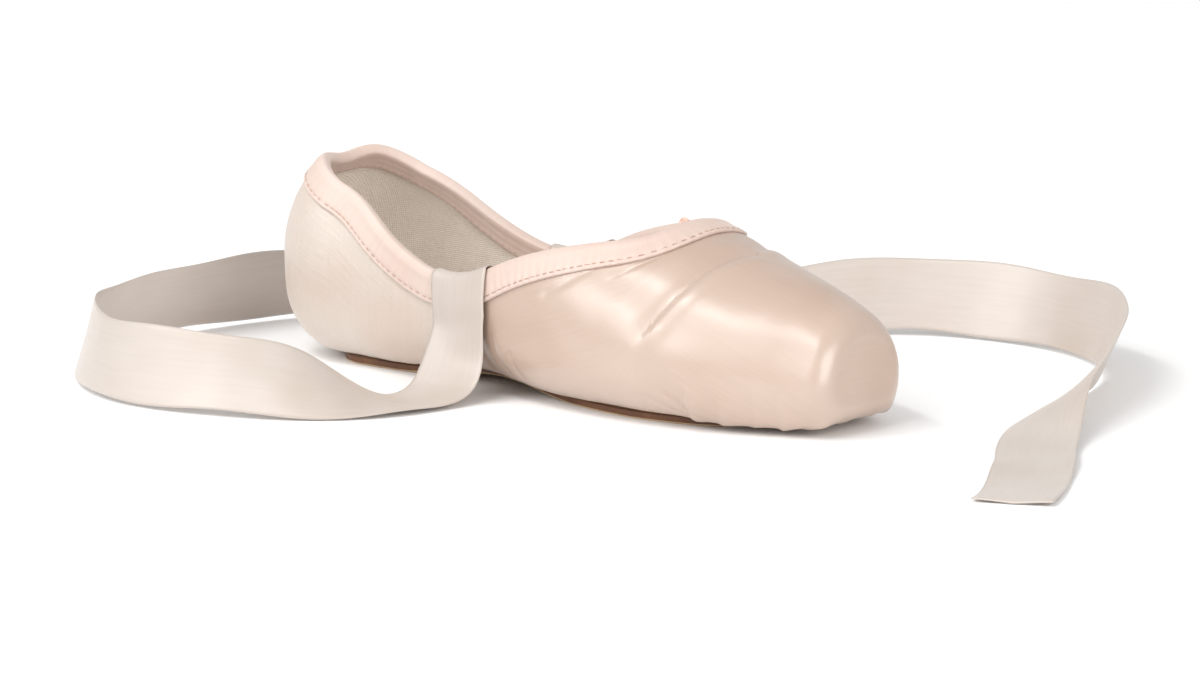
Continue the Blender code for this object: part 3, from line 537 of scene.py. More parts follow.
# The shoulder of the box, where its top plane turns down into the side: mm from the platform, and up
SHOULDER = ((0.8, 16.6), (3, 17.6), (12, 18.4), (26, 19.6), (40, 20.8), (52, 21.6))
SHOULDER_HEIGHT = 0.55
SHOULDER_HALF_WIDTH = 2.3


def crease_lines():
    """The creases' lines in space, with their depths and half widths."""
    lines = []
    for side, points, depth, width, skew in CREASES:
        points = np.array(points)
        shares = np.linspace(0, 1, CREASE_POINTS)
        corners = np.linspace(0, 1, len(points))
        curve = spline(corners, points)(shares)
        line = last_point(curve[:, 0] * MILLIMETRE, curve[:, 1]) * (1, side, 1)
        lines.append((line, depth * MILLIMETRE, width * MILLIMETRE, skew, (-0.3, 0.15, 0.75, 1.02)))
    places = np.array([place for place, _ in SHOULDER]) * MILLIMETRE
    arounds = [around_at_height(place, height * MILLIMETRE) for place, (_, height) in zip(places, SHOULDER)]
    curve = spline(places, np.array(arounds))
    dense = np.linspace(places[0], places[-1], CREASE_POINTS)
    for side in (1, -1):
        line = last_point(dense, np.ravel(curve(dense))) * (1, side, 1)
        fade = (-0.05, 0.08, 0.55, 1.0)
        lines.append((line, SHOULDER_HEIGHT * MILLIMETRE, SHOULDER_HALF_WIDTH * MILLIMETRE, 1.0, fade))
    return lines


CREASE_LINES = crease_lines()


def creases(points):
    flat = points.reshape(-1, 3)
    height = np.zeros(len(flat))
    for line, depth, width, skew, fade in CREASE_LINES:
        reach = 3 * width * skew
        near = np.where(np.all((flat > line.min(0) - reach) & (flat < line.max(0) + reach), axis=1))[0]
        if not len(near):
            continue
        gaps = np.linalg.norm(flat[near][:, None, :] - line[None], axis=2)
        nearest = gaps.argmin(axis=1)
        share = nearest / (CREASE_POINTS - 1)
        taper = ease(share, fade[0], fade[1]) * (1 - ease(share, fade[2], fade[3]))
        wide = np.where(flat[near][:, 0] < line[nearest, 0], width * skew, width)
        height[near] += depth * bump(gaps.min(axis=1), wide) * taper
    return height.reshape(points.shape[:-1])


def satin_relief(points):
    """Height off the last of the box's and vamp's satin."""
    softness = rough(points, 0.020, 3.0) * 0.00022 + rough(points, 0.0075, 9.0) * 0.00007
    return softness + creases(points) + pleats(points)


def heel_relief(points):
    """Height off the last of the stretch satin on the heel, which is finely puckered."""
    softness = rough(points, 0.016, 5.0) * 0.00022 + rough(points, 0.0045, 21.0) * 0.00008
    return softness + creases(points)


def add_object(name, data):
    item = bpy.data.objects.new(name, data)
    bpy.context.scene.collection.objects.link(item)
    return item


def add_vertices(build, points, cloth=None, coordinates=None):
    """Add a line of vertices, and the cloth's coordinates at them where it has some."""
    line = [build.verts.new(point) for point in points]
    if cloth is not None:
        for vertex, place in zip(line, coordinates):
            vertex[cloth] = (*place, 0.0)
    return line


def grid_faces(build, grid, material=0, closed=False):
    """Add faces over a grid of bmesh vertices."""
    lines = grid + [grid[0]] if closed else grid
    for line, following in zip(lines, lines[1:]):
        for j in range(len(line) - 1):
            face = build.faces.new((line[j], following[j], following[j + 1], line[j + 1]))
            face.material_index = material


def close_sheets(build, upper, lower):
    """Add faces over two grids of vertices, and round the edge between them."""
    grid_faces(build, upper)
    grid_faces(build, lower)
    for end in (0, -1):
        grid_faces(build, [upper[end], lower[end]])
        grid_faces(build, [[line[end] for line in upper], [line[end] for line in lower]])


MERGE = 2e-6
STITCH_MERGE = 1e-9


def finish_piece(build, name, merge=MERGE):
    """Join the mesh's doubled vertices, turn its faces outwards and make it an object."""
    bmesh.ops.remove_doubles(build, verts=build.verts, dist=merge)
    bmesh.ops.dissolve_degenerate(build, edges=build.edges, dist=1e-7)
    bmesh.ops.recalc_face_normals(build, faces=build.faces)
    mesh = bpy.data.meshes.new(name)
    build.to_mesh(mesh)
    build.free()
    mesh.shade_smooth()
    return add_object(name, mesh)


def cloth_runs(points):
    """Lengths along the cloth and down it from its head, for a grid of points."""
    if np.ptp(points[..., 0]) < STEP:
        # The flat platform
        return points[..., 1:]
    down = np.linalg.norm(np.diff(points, axis=1), axis=2)
    down = np.concatenate((np.zeros((len(points), 1)), np.cumsum(down[:, ::-1], axis=1)), axis=1)[:, ::-1]
    middle = points.shape[1] * 2 // 3
    along = run_along(points[:, middle])
    return np.stack((np.broadcast_to(along[:, None], down.shape), down), axis=2)


def shell_piece(name, sides):
    """One closed piece of an outer and an inner surface, for both sides of the shoe."""
    build = bmesh.new()
    cloth = build.verts.layers.float_vector.new("cloth")
    for side, outer_halves, inner_halves, rims, ends in sides:
        turned = np.array((1, side, 1))
        for material, halves in enumerate((outer_halves, inner_halves)):
            for points in halves:
                runs = cloth_runs(points)
                grid = [add_vertices(build, line, cloth, run) for line, run in zip(points * turned, runs)]
                grid_faces(build, grid, material)
        for outer, inner in rims:
            # The edge is open only where it leaves the middle plane
            start = max(int(np.argmax(outer[:, 1] > 0)) - 1, 0)
            pairs = zip(outer[start:] * turned, inner[start:] * turned)
            grid_faces(build, [add_vertices(build, pair) for pair in pairs], 1)
        for outer, inner in ends:
            # The lining may have fewer rows than the satin
            steps = (len(outer) - 1) // (len(inner) - 1)
            satin = add_vertices(build, outer * turned)
            lining = add_vertices(build, inner * turned)
            for i in range(len(inner) - 1):
                corners = satin[steps * i:steps * (i + 1) + 1] + [lining[i + 1], lining[i]]
                build.faces.new(corners).material_index = 1
    return finish_piece(build, name)


def upper_grids(part):
    """Place and around of the front or the heel part of the upper, as columns from foot to head."""
    if part == "front":
        feet, heads = front_columns(BOX_CELLS, VAMP_CELLS, RIM_CELLS)
        head_runs = np.linspace(0, SEAM_HEAD, FRONT_CELLS + 1)
        foot_runs = np.linspace(BINDING_DEPTH * 2, SEAM_FOOT, FRONT_CELLS + 1)
    else:
        feet, heads = [], []
        head_places = np.linspace(SIDE_SEAM_TOP + SIDE_SEAM_WIDTH / 2, HEEL_BACK, BACK_CELLS + 1)
        foot_places = np.linspace(SIDE_SEAM_FOOT + SIDE_SEAM_WIDTH / 2, HEEL_BACK, BACK_CELLS + 1)
        head_runs = collar.run_at_place(head_places)
        foot_runs = margin.run_at_place(foot_places)
        head_runs[-1] = collar.length
        foot_runs[-1] = margin.length
    more_feet, more_heads = open_columns(head_runs, foot_runs, BINDING_DEPTH)
    body = body_grid(feet + more_feet, heads + more_heads, BODY_ROWS, 0.07)
    band = band_grid(head_runs, BINDING_DEPTH, BAND_ROWS)
    joined = (
        np.concatenate((body[0][-len(head_runs):, -1:], band[0]), axis=1),
        np.concatenate((body[1][-len(head_runs):, -1:], band[1]), axis=1),
    )
    return body, joined


def face_points(edge, shares):
    """The flat platform's half, filled in from its outline to the middle of its height."""
    centre = (edge[0] + edge[-1]) / 2
    return np.stack([centre + (edge - centre) * share for share in shares])


def make_upper_part(name, part, relief):
    """The satin over its lining, as a closed shell with the real wall."""
    body, band = upper_grids(part)
    sides = []
    for side in (1, -1):
        outer = []
        inner = []
        for place, around in (body, band):
            base = lift(place, around, 0.0)
            height = relief(base * (1, side, 1)) * ease(place, 0.0004, 0.0035)
            # Under the casing the satin lies flat
            if place is band[0]:
                height = height * 0.0
            else:
                under_casing = ease(np.arange(BODY_ROWS + 1), BODY_ROWS * 0.975, BODY_ROWS)[None, :]
                at_casing = (np.arange(len(place)) >= len(place) - len(band[0]))[:, None]
                height = height * (1 - under_casing * at_casing)
            outer.append(lift(place, around, height))
            # The lining needs fewer rows
            thin = slice(None, None, 1 if place is band[0] else 3)
            inner.append(lift(place[:, thin], around[:, thin], -wall(place[:, thin])))
        # On the middle plane both halves meet
        for points in outer + inner:
            points[np.abs(points[..., 1]) < 1e-4, 1] = 0.0
        rims = [(outer[0][:, 0], inner[0][:, 0]), (outer[1][:, -1][::-1], inner[1][:, -1][::-1])]
        # The edge under the side seam's band
        column = -1 if part == "front" else 0
        ends = [(satin[column], lining[column]) for satin, lining in zip(outer, inner)]
        if part == "front":
            shares = np.linspace(0, 1, 14)
            outer.append(face_points(outer[0][0], shares))
            inner.append(face_points(inner[0][0], shares))
        sides.append((side, outer, inner, rims, ends))
    return shell_piece(name, sides)


satin_front = make_upper_part("satin_front", "front", satin_relief)
satin_heel = make_upper_part("satin_heel", "heel", heel_relief)


def edge_frame(runs):
    """Points of the collar's edge with the directions off the last and down it."""
    place, around = collar.at_run(runs)
    normal = last_normal(place, around)
    down = np.cross(collar.heading(runs), normal)
    return place, around, last_point(place, around), normal, down


# The casing over the collar's edge
BINDING_OUT = GAP + BINDING_THICKNESS
BINDING_IN = SIDE_WALL + 2 * GAP + BINDING_THICKNESS
BINDING_TOP = 2 * GAP + BINDING_THICKNESS
BINDING_ROLL = 0.0006
HAIR = 0.00005
# Depth of the casing's row of stitches below the collar's edge
STITCH_DEPTH = BINDING_DEPTH - 0.0014
PUCKER_PITCH = 0.0034
BINDING_COLUMNS = cells(420)


def binding_puckers(runs, depth):
    """Height of the casing's small gathers, strongest at its row of stitches."""
    phase = runs / PUCKER_PITCH * 2 * math.pi + 1.3 * np.sin(runs / 0.011)
    below = depth - STITCH_DEPTH
    return 0.00007 * np.sin(phase) * (0.35 + bump(below, 0.0022)) - 0.00016 * bump(below, 0.0005)


def make_binding():
    """The folded casing, as one closed band with a rolled top over the drawstring."""
    runs = np.linspace(0, collar.length, BINDING_COLUMNS + 1)
    place, around, edge, normal, down = edge_frame(runs)
    loop = []
    outside = np.linspace(BINDING_DEPTH - 0.0005, BINDING_ROLL, cells(22))
    for depth in (BINDING_DEPTH, BINDING_DEPTH - 0.0002, *outside):
        rolled = 0.00022 * bump(depth - 0.0016, 0.0013)
        edge_round = 0.0003 * (1 - ease(BINDING_DEPTH - depth, 0, 0.0004))
        out = BINDING_OUT - edge_round + rolled + binding_puckers(runs, depth)
        loop.append(lift(*collar_line(runs, depth), out))
    middle_out = (BINDING_OUT - BINDING_IN) / 2
    half_out = (BINDING_OUT + BINDING_IN) / 2
    turns = np.linspace(0, math.pi, cells(12) + 1)
    for turn in turns[1:-1]:
        out = middle_out + half_out * signed_power(np.cos(turn), 0.75)
        loop.append(edge + normal * out - down * BINDING_TOP * signed_power(np.sin(turn), 0.75))
    for depth in np.linspace(BINDING_ROLL, BINDING_INSIDE, cells(12)):
        loop.append(lift(*collar_line(runs, depth), -BINDING_IN - 0.00005 * np.sin(depth * 2400)))
    # The side towards the satin and the lining
    for depth in np.linspace(BINDING_INSIDE, 0.0, cells(6)):
        loop.append(lift(*collar_line(runs, depth), -(SIDE_WALL + HAIR)))
    loop.append(edge + down * -0.0003 + normal * -SIDE_WALL)
    loop.append(edge + down * -0.0003)
    for depth in np.linspace(0.0, BINDING_DEPTH, cells(6)):
        loop.append(lift(*collar_line(runs, depth), HAIR))
    loop = np.array(loop)
    for points in loop:
        points[0, 1] = 0.0
        points[-1, 1] = 0.0
    arc = run_along(loop[:, BINDING_COLUMNS // 10])
    build = bmesh.new()
    cloth = build.verts.layers.float_vector.new("cloth")
    for side in (1, -1):
        grid = []
        for points, across in zip(loop, arc):
            grid.append(add_vertices(build, points * (1, side, 1), cloth, [(run, across) for run in runs]))
        grid_faces(build, grid, closed=True)
    return finish_piece(build, "casing")


def join_rings(build, rings):
    """Add faces between rings of points, and over both ends, and return them ring by ring."""
    made = [add_vertices(build, ring) for ring in rings]
    sides = []
    for ring, following in zip(made, made[1:]):
        corners = zip(ring, ring[1:] + ring[:1], following[1:] + following[:1], following)
        sides.append([build.faces.new(four) for four in corners])
    build.faces.new(made[0])
    build.faces.new(made[-1])
    return sides


THREAD = 0.00034
STITCH_RINGS = ((-0.5, 0.35), (-0.32, 0.85), (0.0, 1.0), (0.32, 0.85), (0.5, 0.35))
STITCH_TURNS = np.linspace(0, 2 * math.pi, 7)[:-1, None]


def stitch_row(build, centres, alongs, normals, length, thickness, proud):
    """Add small rounded stitches to a mesh, one at each centre."""
    for centre, along, normal in zip(centres, alongs, normals):
        across = np.cross(normal, along)
        rings = []
        for share, size in STITCH_RINGS:
            middle = centre + along * length * share
            middle = middle + normal * (proud * (1 - (2 * share) ** 2) - thickness * 0.2)
            round_it = normal * np.sin(STITCH_TURNS) + across * np.cos(STITCH_TURNS)
            rings.append(middle + round_it * thickness / 2 * size)
        join_rings(build, rings)


def both_sides(centres, alongs, normals):
    """The same stitches on the left and on the right."""
    turned = np.array((1, -1, 1))
    return (
        np.concatenate((centres, centres * turned)),
        np.concatenate((alongs, alongs * turned)),
        np.concatenate((normals, normals * turned)),
    )


def make_binding_stitches():
    """The casing's rows of machine stitches, outside and inside."""
    build = bmesh.new()
    spacing = 0.0026
    count = int(collar.length / spacing)
    runs = (np.arange(count) + 0.5) * collar.length / count
    along = collar.heading(runs)
    for depth, out, turn in ((STITCH_DEPTH, BINDING_OUT - 0.00006, 1), (BINDING_INSIDE - 0.0012, -BINDING_IN, -1)):
        line = collar_line(runs, depth)
        both = both_sides(lift(*line, out), along, last_normal(*line) * turn)
        stitch_row(build, *both, 0.0020, THREAD, 0.00006)
    return finish_piece(build, "casing_stitches", STITCH_MERGE)


def seam_track(share_of_width, rows, out=0.0):
    """Points up the side seam at a share of its width, with directions along it and off it."""
    head_run = collar.run_at_place(SIDE_SEAM_TOP + SIDE_SEAM_WIDTH * share_of_width)
    foot_run = margin.run_at_place(SIDE_SEAM_FOOT + SIDE_SEAM_WIDTH * share_of_width)
    feet, heads = open_columns(np.array([head_run]), np.array([foot_run]), BINDING_DEPTH - 0.002)
    place, around = body_grid(feet, heads, rows)
    place, around = place[0], around[0]
    points = last_point(place, around)
    normal = last_normal(place, around)
    along = np.gradient(points, axis=0)
    along = unit(along)
    return points + normal * out, along, normal


# Share of the way up from the margin where the bands begin, at the sole's edge
SEAM_START = 0.30
BACK_SEAM_START = 0.33
SEAM_ROWS = cells(90)
BACK_SEAM_DEPTH = 0.00072


def make_side_seams():
    """Flat bands of cloth over the joins of the front and the heel satin."""
    rows = SEAM_ROWS
    first = int(rows * SEAM_START)
    shares = np.linspace(-0.05, 1.05, 13)
    tracks = []
    for share in shares:
        points, _, normal = seam_track(share, rows)
        edge = min(share + 0.05, 1.05 - share)
        ridge = 0.0001 * math.cos((share - 0.5) * 4 * math.pi)
        out = 0.00008 + 0.00042 * float(ease(edge, -0.02, 0.14)) + ridge * (0.1 < share < 0.9)
        # The two rows of stitches pull the band down at even steps
        pulled = 0.00007 * np.cos(np.arange(rows + 1) * 1.9)
        tracks.append((points + normal * (out + pulled)[:, None])[first:])
    back = [seam_track(share, rows, -0.0002)[0][first:] for share in shares[::-1]]
    ring = np.array(tracks + back)
    made = []
    for side, name in ((1, "side_band_left"), (-1, "side_band_right")):
        build = bmesh.new()
        join_rings(build, np.swapaxes(ring, 0, 1) * (1, side, 1))
        made.append(finish_piece(build, name))
    return made


ZIGZAG = 0.0013


def make_side_stitches():
    """Two zigzag rows of pale thread up each side seam."""
    build = bmesh.new()
    points, _, _ = seam_track(0.5, SEAM_ROWS)
    steps = int(run_along(points[int(SEAM_ROWS * SEAM_START):])[-1] / ZIGZAG)
    for low, high in ((0.10, 0.36), (0.64, 0.90)):
        near, _, normal = seam_track(low, steps * 4)
        far, _, _ = seam_track(high, steps * 4)
        first = int(steps * 4 * SEAM_START)
        picks = np.arange(first, steps * 4 - 4, 3)
        for i, at in enumerate(picks[:-1]):
            a = (near if i % 2 else far)[at]
            b = (far if i % 2 else near)[picks[i + 1]]
            centre = (a + b) / 2 + normal[at] * (SEAM_THICKNESS + 0.00004)
            both = both_sides(centre[None], unit(b - a)[None], normal[at][None])
            stitch_row(build, *both, float(np.linalg.norm(b - a)) * 1.05, THREAD, 0.00005)
    return finish_piece(build, "side_stitches", STITCH_MERGE)


def make_back_seam():
    """The raised seam up the middle of the heel, with its piping-like ridge."""
    rows = SEAM_ROWS
    first = int(rows * BACK_SEAM_START)
    ring = []
    shares = np.linspace(0.0, 1.0, 9)
    half_turn = BACK_SEAM_WIDTH / 2 * HEEL_TURN / HEEL_REACH
    for share in shares:
        at = HEEL_BACK - half_turn * (1 - share)
        head_run = collar.run_at_place(at) if share < 1 else collar.length
        foot_run = margin.run_at_place(at) if share < 1 else margin.length
        feet, heads = open_columns(np.array([head_run]), np.array([foot_run]), BINDING_DEPTH - 0.002)
        place, around = body_grid(feet, heads, rows)
        points = last_point(place[0], around[0])
        normal = last_normal(place[0], around[0])
        fold = 0.00022 * bump(share - 1.0, 0.35) - 0.00012 * bump(share - 0.45, 0.16)
        out = 0.00006 + 0.00044 * float(ease(share, 0, 0.2)) + fold
        points = points + normal * (out + 0.00004 * np.sin(np.arange(rows + 1) * 1.7))[:, None]
        ring.append(points[first:])
    ring = np.array(ring)
    ring[-1][:, 1] = 0.0
    # Across both halves, which meet on the middle plane, and back underneath
    ring = np.concatenate((ring, ring[-2::-1] * (1, -1, 1)))
    under = ring + (BACK_SEAM_DEPTH, 0, 0)
    build = bmesh.new()
    rows_of = [[add_vertices(build, line) for line in lines] for lines in (ring, under)]
    close_sheets(build, *rows_of)
    return finish_piece(build, "back_ridge")


# The sole
SOLE_ROWS = (
    (0.000, 0.66, SOLE_BALL_WIDTH),
    (0.060, 0.80, SOLE_BALL_WIDTH),
    (0.215, 1.00, SOLE_BALL_WIDTH),
    (0.400, 0.82, SOLE_BALL_WIDTH),
    (0.540, 1.08, SOLE_WAIST_WIDTH),
    (0.660, 1.00, SOLE_WAIST_WIDTH),
    (0.850, 1.00, SOLE_HEEL_WIDTH),
    (1.000, 0.94, SOLE_HEEL_WIDTH),
)
SOLE_FRONT_ROUND = 0.012
SOLE_BACK_ROUND = 0.017
SOLE_SOFTNESS = 0.0005
SOLE_GROOVE = 0.00025
GROOVE_INSET = 0.0026
GROOVE_WIDTH = 0.0004
INSOLE_SOFTNESS = 0.0006
BLUNT_END = 0.0008


def rounded_end(distance, length, power):
    """Go from 0 to 1 over a length, as the rounded end of an outline does."""
    share = np.clip(distance / length, 0, 1)
    return (1 - (1 - share) ** power) ** (1 / power)


def sole_half_width(place):
    run = SOLE_END - SOLE_FRONT
    knots = [SOLE_FRONT + share * run for share, _, _ in SOLE_ROWS]
    halves = [out * out_of / 2 for _, out, out_of in SOLE_ROWS]
    half = spline(knots, halves)(place)[:, 0]
    front = rounded_end(place - SOLE_FRONT, SOLE_FRONT_ROUND, 2.4)
    back = rounded_end(SOLE_END - place, SOLE_BACK_ROUND, 2.0)
    return half * front * back


def eased_places(start, end, count):
    """Places that crowd towards both ends, where the outline is round."""
    turn = np.linspace(0, math.pi, count + 1)
    even = np.linspace(0, 1, count + 1)
    crowded = (1 - np.cos(turn)) / 2
    return start + (end - start) * (0.35 * even + 0.65 * crowded)


def plate_piece(name, xs, halves, lows, highs, across, edge, groove=0.0):
    """A plate with softened edges: material 0 below, 1 on its edge, 2 on top."""
    turns = np.linspace(0, QUARTER, 4)
    shares = np.linspace(-1, 1, across + 1)
    rings = []
    for x, half, low, high in zip(xs, halves, lows, highs):
        soft = min(edge, (high - low) / 2.2, half / 2)
        ys = shares * (half - soft)
        dip = groove * bump(half - soft - np.abs(ys) - GROOVE_INSET, GROOVE_WIDTH)
        # The corners, from the plate's edge to its flat faces
        out = half - soft + soft * np.cos(turns)
        off = soft * (1 - np.sin(turns))
        flat = np.full(across - 1, high)
        y = np.concatenate((ys, out[-2::-1], out, -ys[1:-1], -out[::-1], -out[:-1]))
        z = np.concatenate((low + dip, low + off[-2::-1], high - off, flat, high - off[::-1], low + off[:-1]))
        rings.append(np.stack((np.full_like(y, x), y, z), axis=1))
    corner = len(turns)
    kinds = [0] * (across + corner) + [1] * corner + [2] * (across - 1) + [1] * corner + [0] * (corner - 1)
    build = bmesh.new()
    for faces in join_rings(build, rings):
        for face, kind in zip(faces, kinds):
            face.material_index = kind
    return finish_piece(build, name)


def make_outsole():
    places = eased_places(SOLE_FRONT, SOLE_END, cells(150))
    halves = np.maximum(sole_half_width(places), BLUNT_END)
    lows = floor_clearance(places)
    highs = lows + sole_thickness(places)
    return plate_piece("sole", LENGTH / 2 - places, halves, lows, highs, 40, SOLE_SOFTNESS, SOLE_GROOVE)


INSOLE_FRONT = 0.0805 * LENGTH
INSOLE_CLEARANCE = 0.0018


def insole_seat(place):
    """Height of the insole's underside, over the upper's turned-in margin."""
    return seat(place) + wall(place) + FEATHER_ROUND / 2 + 2 * GAP


def inner_half_width(place):
    """Half width inside the wall, at the height of the insole's underside."""
    around = np.linspace(0.02, 1.0, 120)
    out, height = section_point(np.full_like(around, place), around)
    slope_out = np.gradient(out)
    slope_height = np.gradient(height)
    size = np.hypot(slope_out, slope_height)
    thick = wall(place)
    inner_out = out - slope_height / size * thick
    rising = np.maximum.accumulate(height + slope_out / size * thick)
    return float(np.interp(insole_seat(place), rising, inner_out))


def make_insole():
    places = eased_places(INSOLE_FRONT, HEEL_CENTRE, cells(80))
    xs = list(LENGTH / 2 - places)
    front = rounded_end(places - INSOLE_FRONT + 0.003, 0.012, 2.6)
    halves = list(np.array([inner_half_width(place) - INSOLE_CLEARANCE for place in places]) * front)
    lows = [float(insole_seat(place)) for place in places]
    heel_cells = cells(24)
    for i in range(1, heel_cells + 1):
        turn = QUARTER * i / heel_cells
        reach = inner_half_width(HEEL_CENTRE + turn * HEEL_TURN) - INSOLE_CLEARANCE
        xs.append(LENGTH / 2 - HEEL_CENTRE - reach * math.sin(turn))
        halves.append(max(reach * math.cos(turn), BLUNT_END))
        lows.append(lows[-1])
    highs = [low + INSOLE_THICKNESS for low in lows]
    return plate_piece("sock", xs, halves, lows, highs, 30, INSOLE_SOFTNESS)


# The ribbons, on the route of their solids
RIBBON_WIDTH = 0.025
RIBBON_THICKNESS = 0.0006
RIBBON_PLACE = 0.589 * LENGTH
RIBBON_SEWN_DEPTH = 0.021
RIBBON_HANG = 0.014
RIBBON_OUTSIDE = 3 * GAP + BINDING_THICKNESS + RIBBON_THICKNESS / 2
FLOOR_LAY = RIBBON_THICKNESS / 2 + 0.0002
RIBBON_LEVELS = 0.024
RIBBON_LENGTH = 0.48
RIBBON_ACROSS = cells(24)
RIBBON_STEP = 0.0026
RIGHT_ROUTE = (
    (-18.2, -37.6, 14.5, 0), (-17.5, -41, 8.0, 0), (-17.2, -46, 3.2, 0), (-17.6, -53, 0.7, 0),
    (-19, -61, 0, 2), (-22, -71, 0, 12), (-28, -83, 0, 30), (-37, -94, 0, 50), (-49, -103, 0, 64),
    (-64, -109, 0, 70), (-82, -112, 0, 72),
    (-100, -110, 0, 73), (-117, -102, 0, 74), (-132, -89, 0, 74), (-143, -72, 0, 73), (-150, -52, 0, 71),
    (-153, -30, 0, 70), (-152, -7, 0, 70), (-147, 15, 0, 71), (-139, 36, 0, 70), (-128, 56, 0, 64),
    (-115, 73, 0, 52), (-101, 88, 0, 36), (-87, 102, 0, 20), (-74, 116, 0, 8), (-63, 131, 0, 0),
    (-54, 147, 0, 0),
)
LEFT_ROUTE = (
    (-18.2, 37.6, 14.5, 0), (-17.5, 41, 8.0, 0), (-17.2, 46, 3.2, 0), (-17, 53, 0.7, 0),
    (-16.5, 61, 0, 1), (-15, 74, 0, 10), (-11, 89, 0, 28), (-4, 105, 0, 46), (6, 120, 0, 58),
    (19, 133, 0, 65), (35, 143, 0, 68),
    (53, 149, 0, 68), (73, 150, 0, 68), (92, 146, 0, 70), (109, 137, 0, 71), (123, 124, 0, 70),
    (134, 108, 0, 66), (142, 91, 0, 58), (148, 74, 0, 47), (153, 57, 0, 35), (159, 41, 0, 22),
    (167, 26, 0, 10), (176, 11, 0, 2), (186, -3, 0, 0), (195, -17, 0, 0), (204, -32, 0, 0),
    (212, -48, 0, 0), (219, -64, 0, 0),
)


def ribbon_on_shoe(side):
    """Rows of points across the ribbon, from its sewn end, over the collar and down the outside."""
    middle = collar.run_at_place(RIBBON_PLACE)
    runs = middle + np.linspace(-RIBBON_WIDTH / 2, RIBBON_WIDTH / 2, RIBBON_ACROSS + 1)
    place, around, edge, normal, down = edge_frame(runs)
    rows = []
    inner = -(SIDE_WALL + RIBBON_OUTSIDE + GAP)
    # Straight down from the ribbon's middle, so that it keeps its width
    straight = np.broadcast_to(down[len(runs) // 2], down.shape)
    for depth in np.linspace(RIBBON_SEWN_DEPTH, 0, 9):
        rows.append(lift(*walk(place, around, straight, depth), inner))
    over = RIBBON_OUTSIDE + 1.5 * GAP
    middle_out = (RIBBON_OUTSIDE + inner) / 2
    half_out = (RIBBON_OUTSIDE - inner) / 2
    for turn in np.linspace(0, math.pi, 12)[1:-1]:
        out = middle_out - half_out * math.cos(turn)
        rows.append(edge + normal * out - down * over * math.sin(turn))
    for depth in np.linspace(0, RIBBON_HANG, 9):
        rows.append(lift(*walk(place, around, straight, depth), RIBBON_OUTSIDE))
    return [row * (1, side, 1) for row in rows]


def ribbon_lay(rows, route):
    """Rows of points across the rest of the ribbon, from the side down to the floor and along it."""
    start = rows[-1].mean(axis=0)
    points = [start]
    banks = [0.0]
    for x, y, height, bank in route:
        banks.append(math.radians(bank))
        rise = FLOOR_LAY + RIBBON_WIDTH / 2 * math.sin(banks[-1])
        points.append(np.array((x * MILLIMETRE, y * MILLIMETRE, height * MILLIMETRE + rise)))
    points = np.array(points)
    knots = run_along(points)
    curve = spline(knots, points)
    bank_at = spline(knots, banks)
    used = run_along(np.mean(rows, axis=1))[-1]
    left = min(RIBBON_LENGTH - used, knots[-1])
    wheres = np.linspace(0, left, int(left / RIBBON_STEP) + 1)[1:]
    first = rows[-1] - start
    across = np.linspace(-RIBBON_WIDTH / 2, RIBBON_WIDTH / 2, RIBBON_ACROSS + 1)
    side = unit(first[-1])
    made = []
    for where in wheres:
        ahead = (curve(where + STEP) - curve(where - STEP))[0]
        level = np.array((ahead[1], -ahead[0], 0.0))
        level = unit(level)
        if level @ side < 0:
            level = -level
        side = level
        share = float(ease(where, 0, RIBBON_LEVELS))
        bank = max(float(bank_at(where)[0, 0]), 0.0)
        middle = curve(where)[0]
        middle[2] = max(middle[2], FLOOR_LAY + RIBBON_WIDTH / 2 * math.sin(bank))
        leaning = level * math.cos(bank) + np.array((0.0, 0.0, math.sin(bank)))
        made.append(middle + first * (1 - share) + across[:, None] * leaning * share)
    return made


def make_ribbon(name, side, route):
    """The ribbon's mesh, with thin ribbed selvages and a hand-cut far end, and its middle line."""
    rows = ribbon_on_shoe(side)
    on_shoe = len(rows)
    rows = np.array(rows + ribbon_lay(rows, route))
    path = rows.mean(axis=1)
    run = run_along(path)
    along = np.gradient(rows, axis=0)
    across = np.gradient(rows, axis=1)
    normal = np.cross(along, across)
    normal = unit(normal)
    if normal[-1, 0, 2] < 0:
        normal = -normal
    share = np.linspace(-1, 1, RIBBON_ACROSS + 1)[None, :]
    # It cups a little, ripples along its edges, and rests on the floor in between
    free = ease(run, run[on_shoe] + 0.01, run[on_shoe] + 0.05)[:, None]
    cup = 0.0009 * share**2 * np.sin(run * 38 + side)[:, None] ** 2
    ripple = 0.0005 * np.abs(share) * (1 + np.sin(run[:, None] * 118 + share * 1.2 + side))
    rows = rows + np.array((0, 0, 1)) * ((cup + ripple) * free)[..., None]
    half = RIBBON_THICKNESS / 2 * np.ones_like(share)
    half = np.where(np.abs(share) > 0.93, half * 1.12, half * 0.8)
    half = np.where(np.abs(share) > 0.995, half * 0.35, half)
    build = bmesh.new()
    cloth = build.verts.layers.float_vector.new("cloth")
    sheets = []
    for turn in (1, -1):
        points = rows + normal * (half * turn)[..., None]
        across = share[0] * RIBBON_WIDTH / 2
        grid = [add_vertices(build, line, cloth, [(at, out) for out in across]) for line, at in zip(points, run)]
        sheets.append(grid)
    close_sheets(build, *sheets)
    return finish_piece(build, name, STITCH_MERGE), path, run[-1]


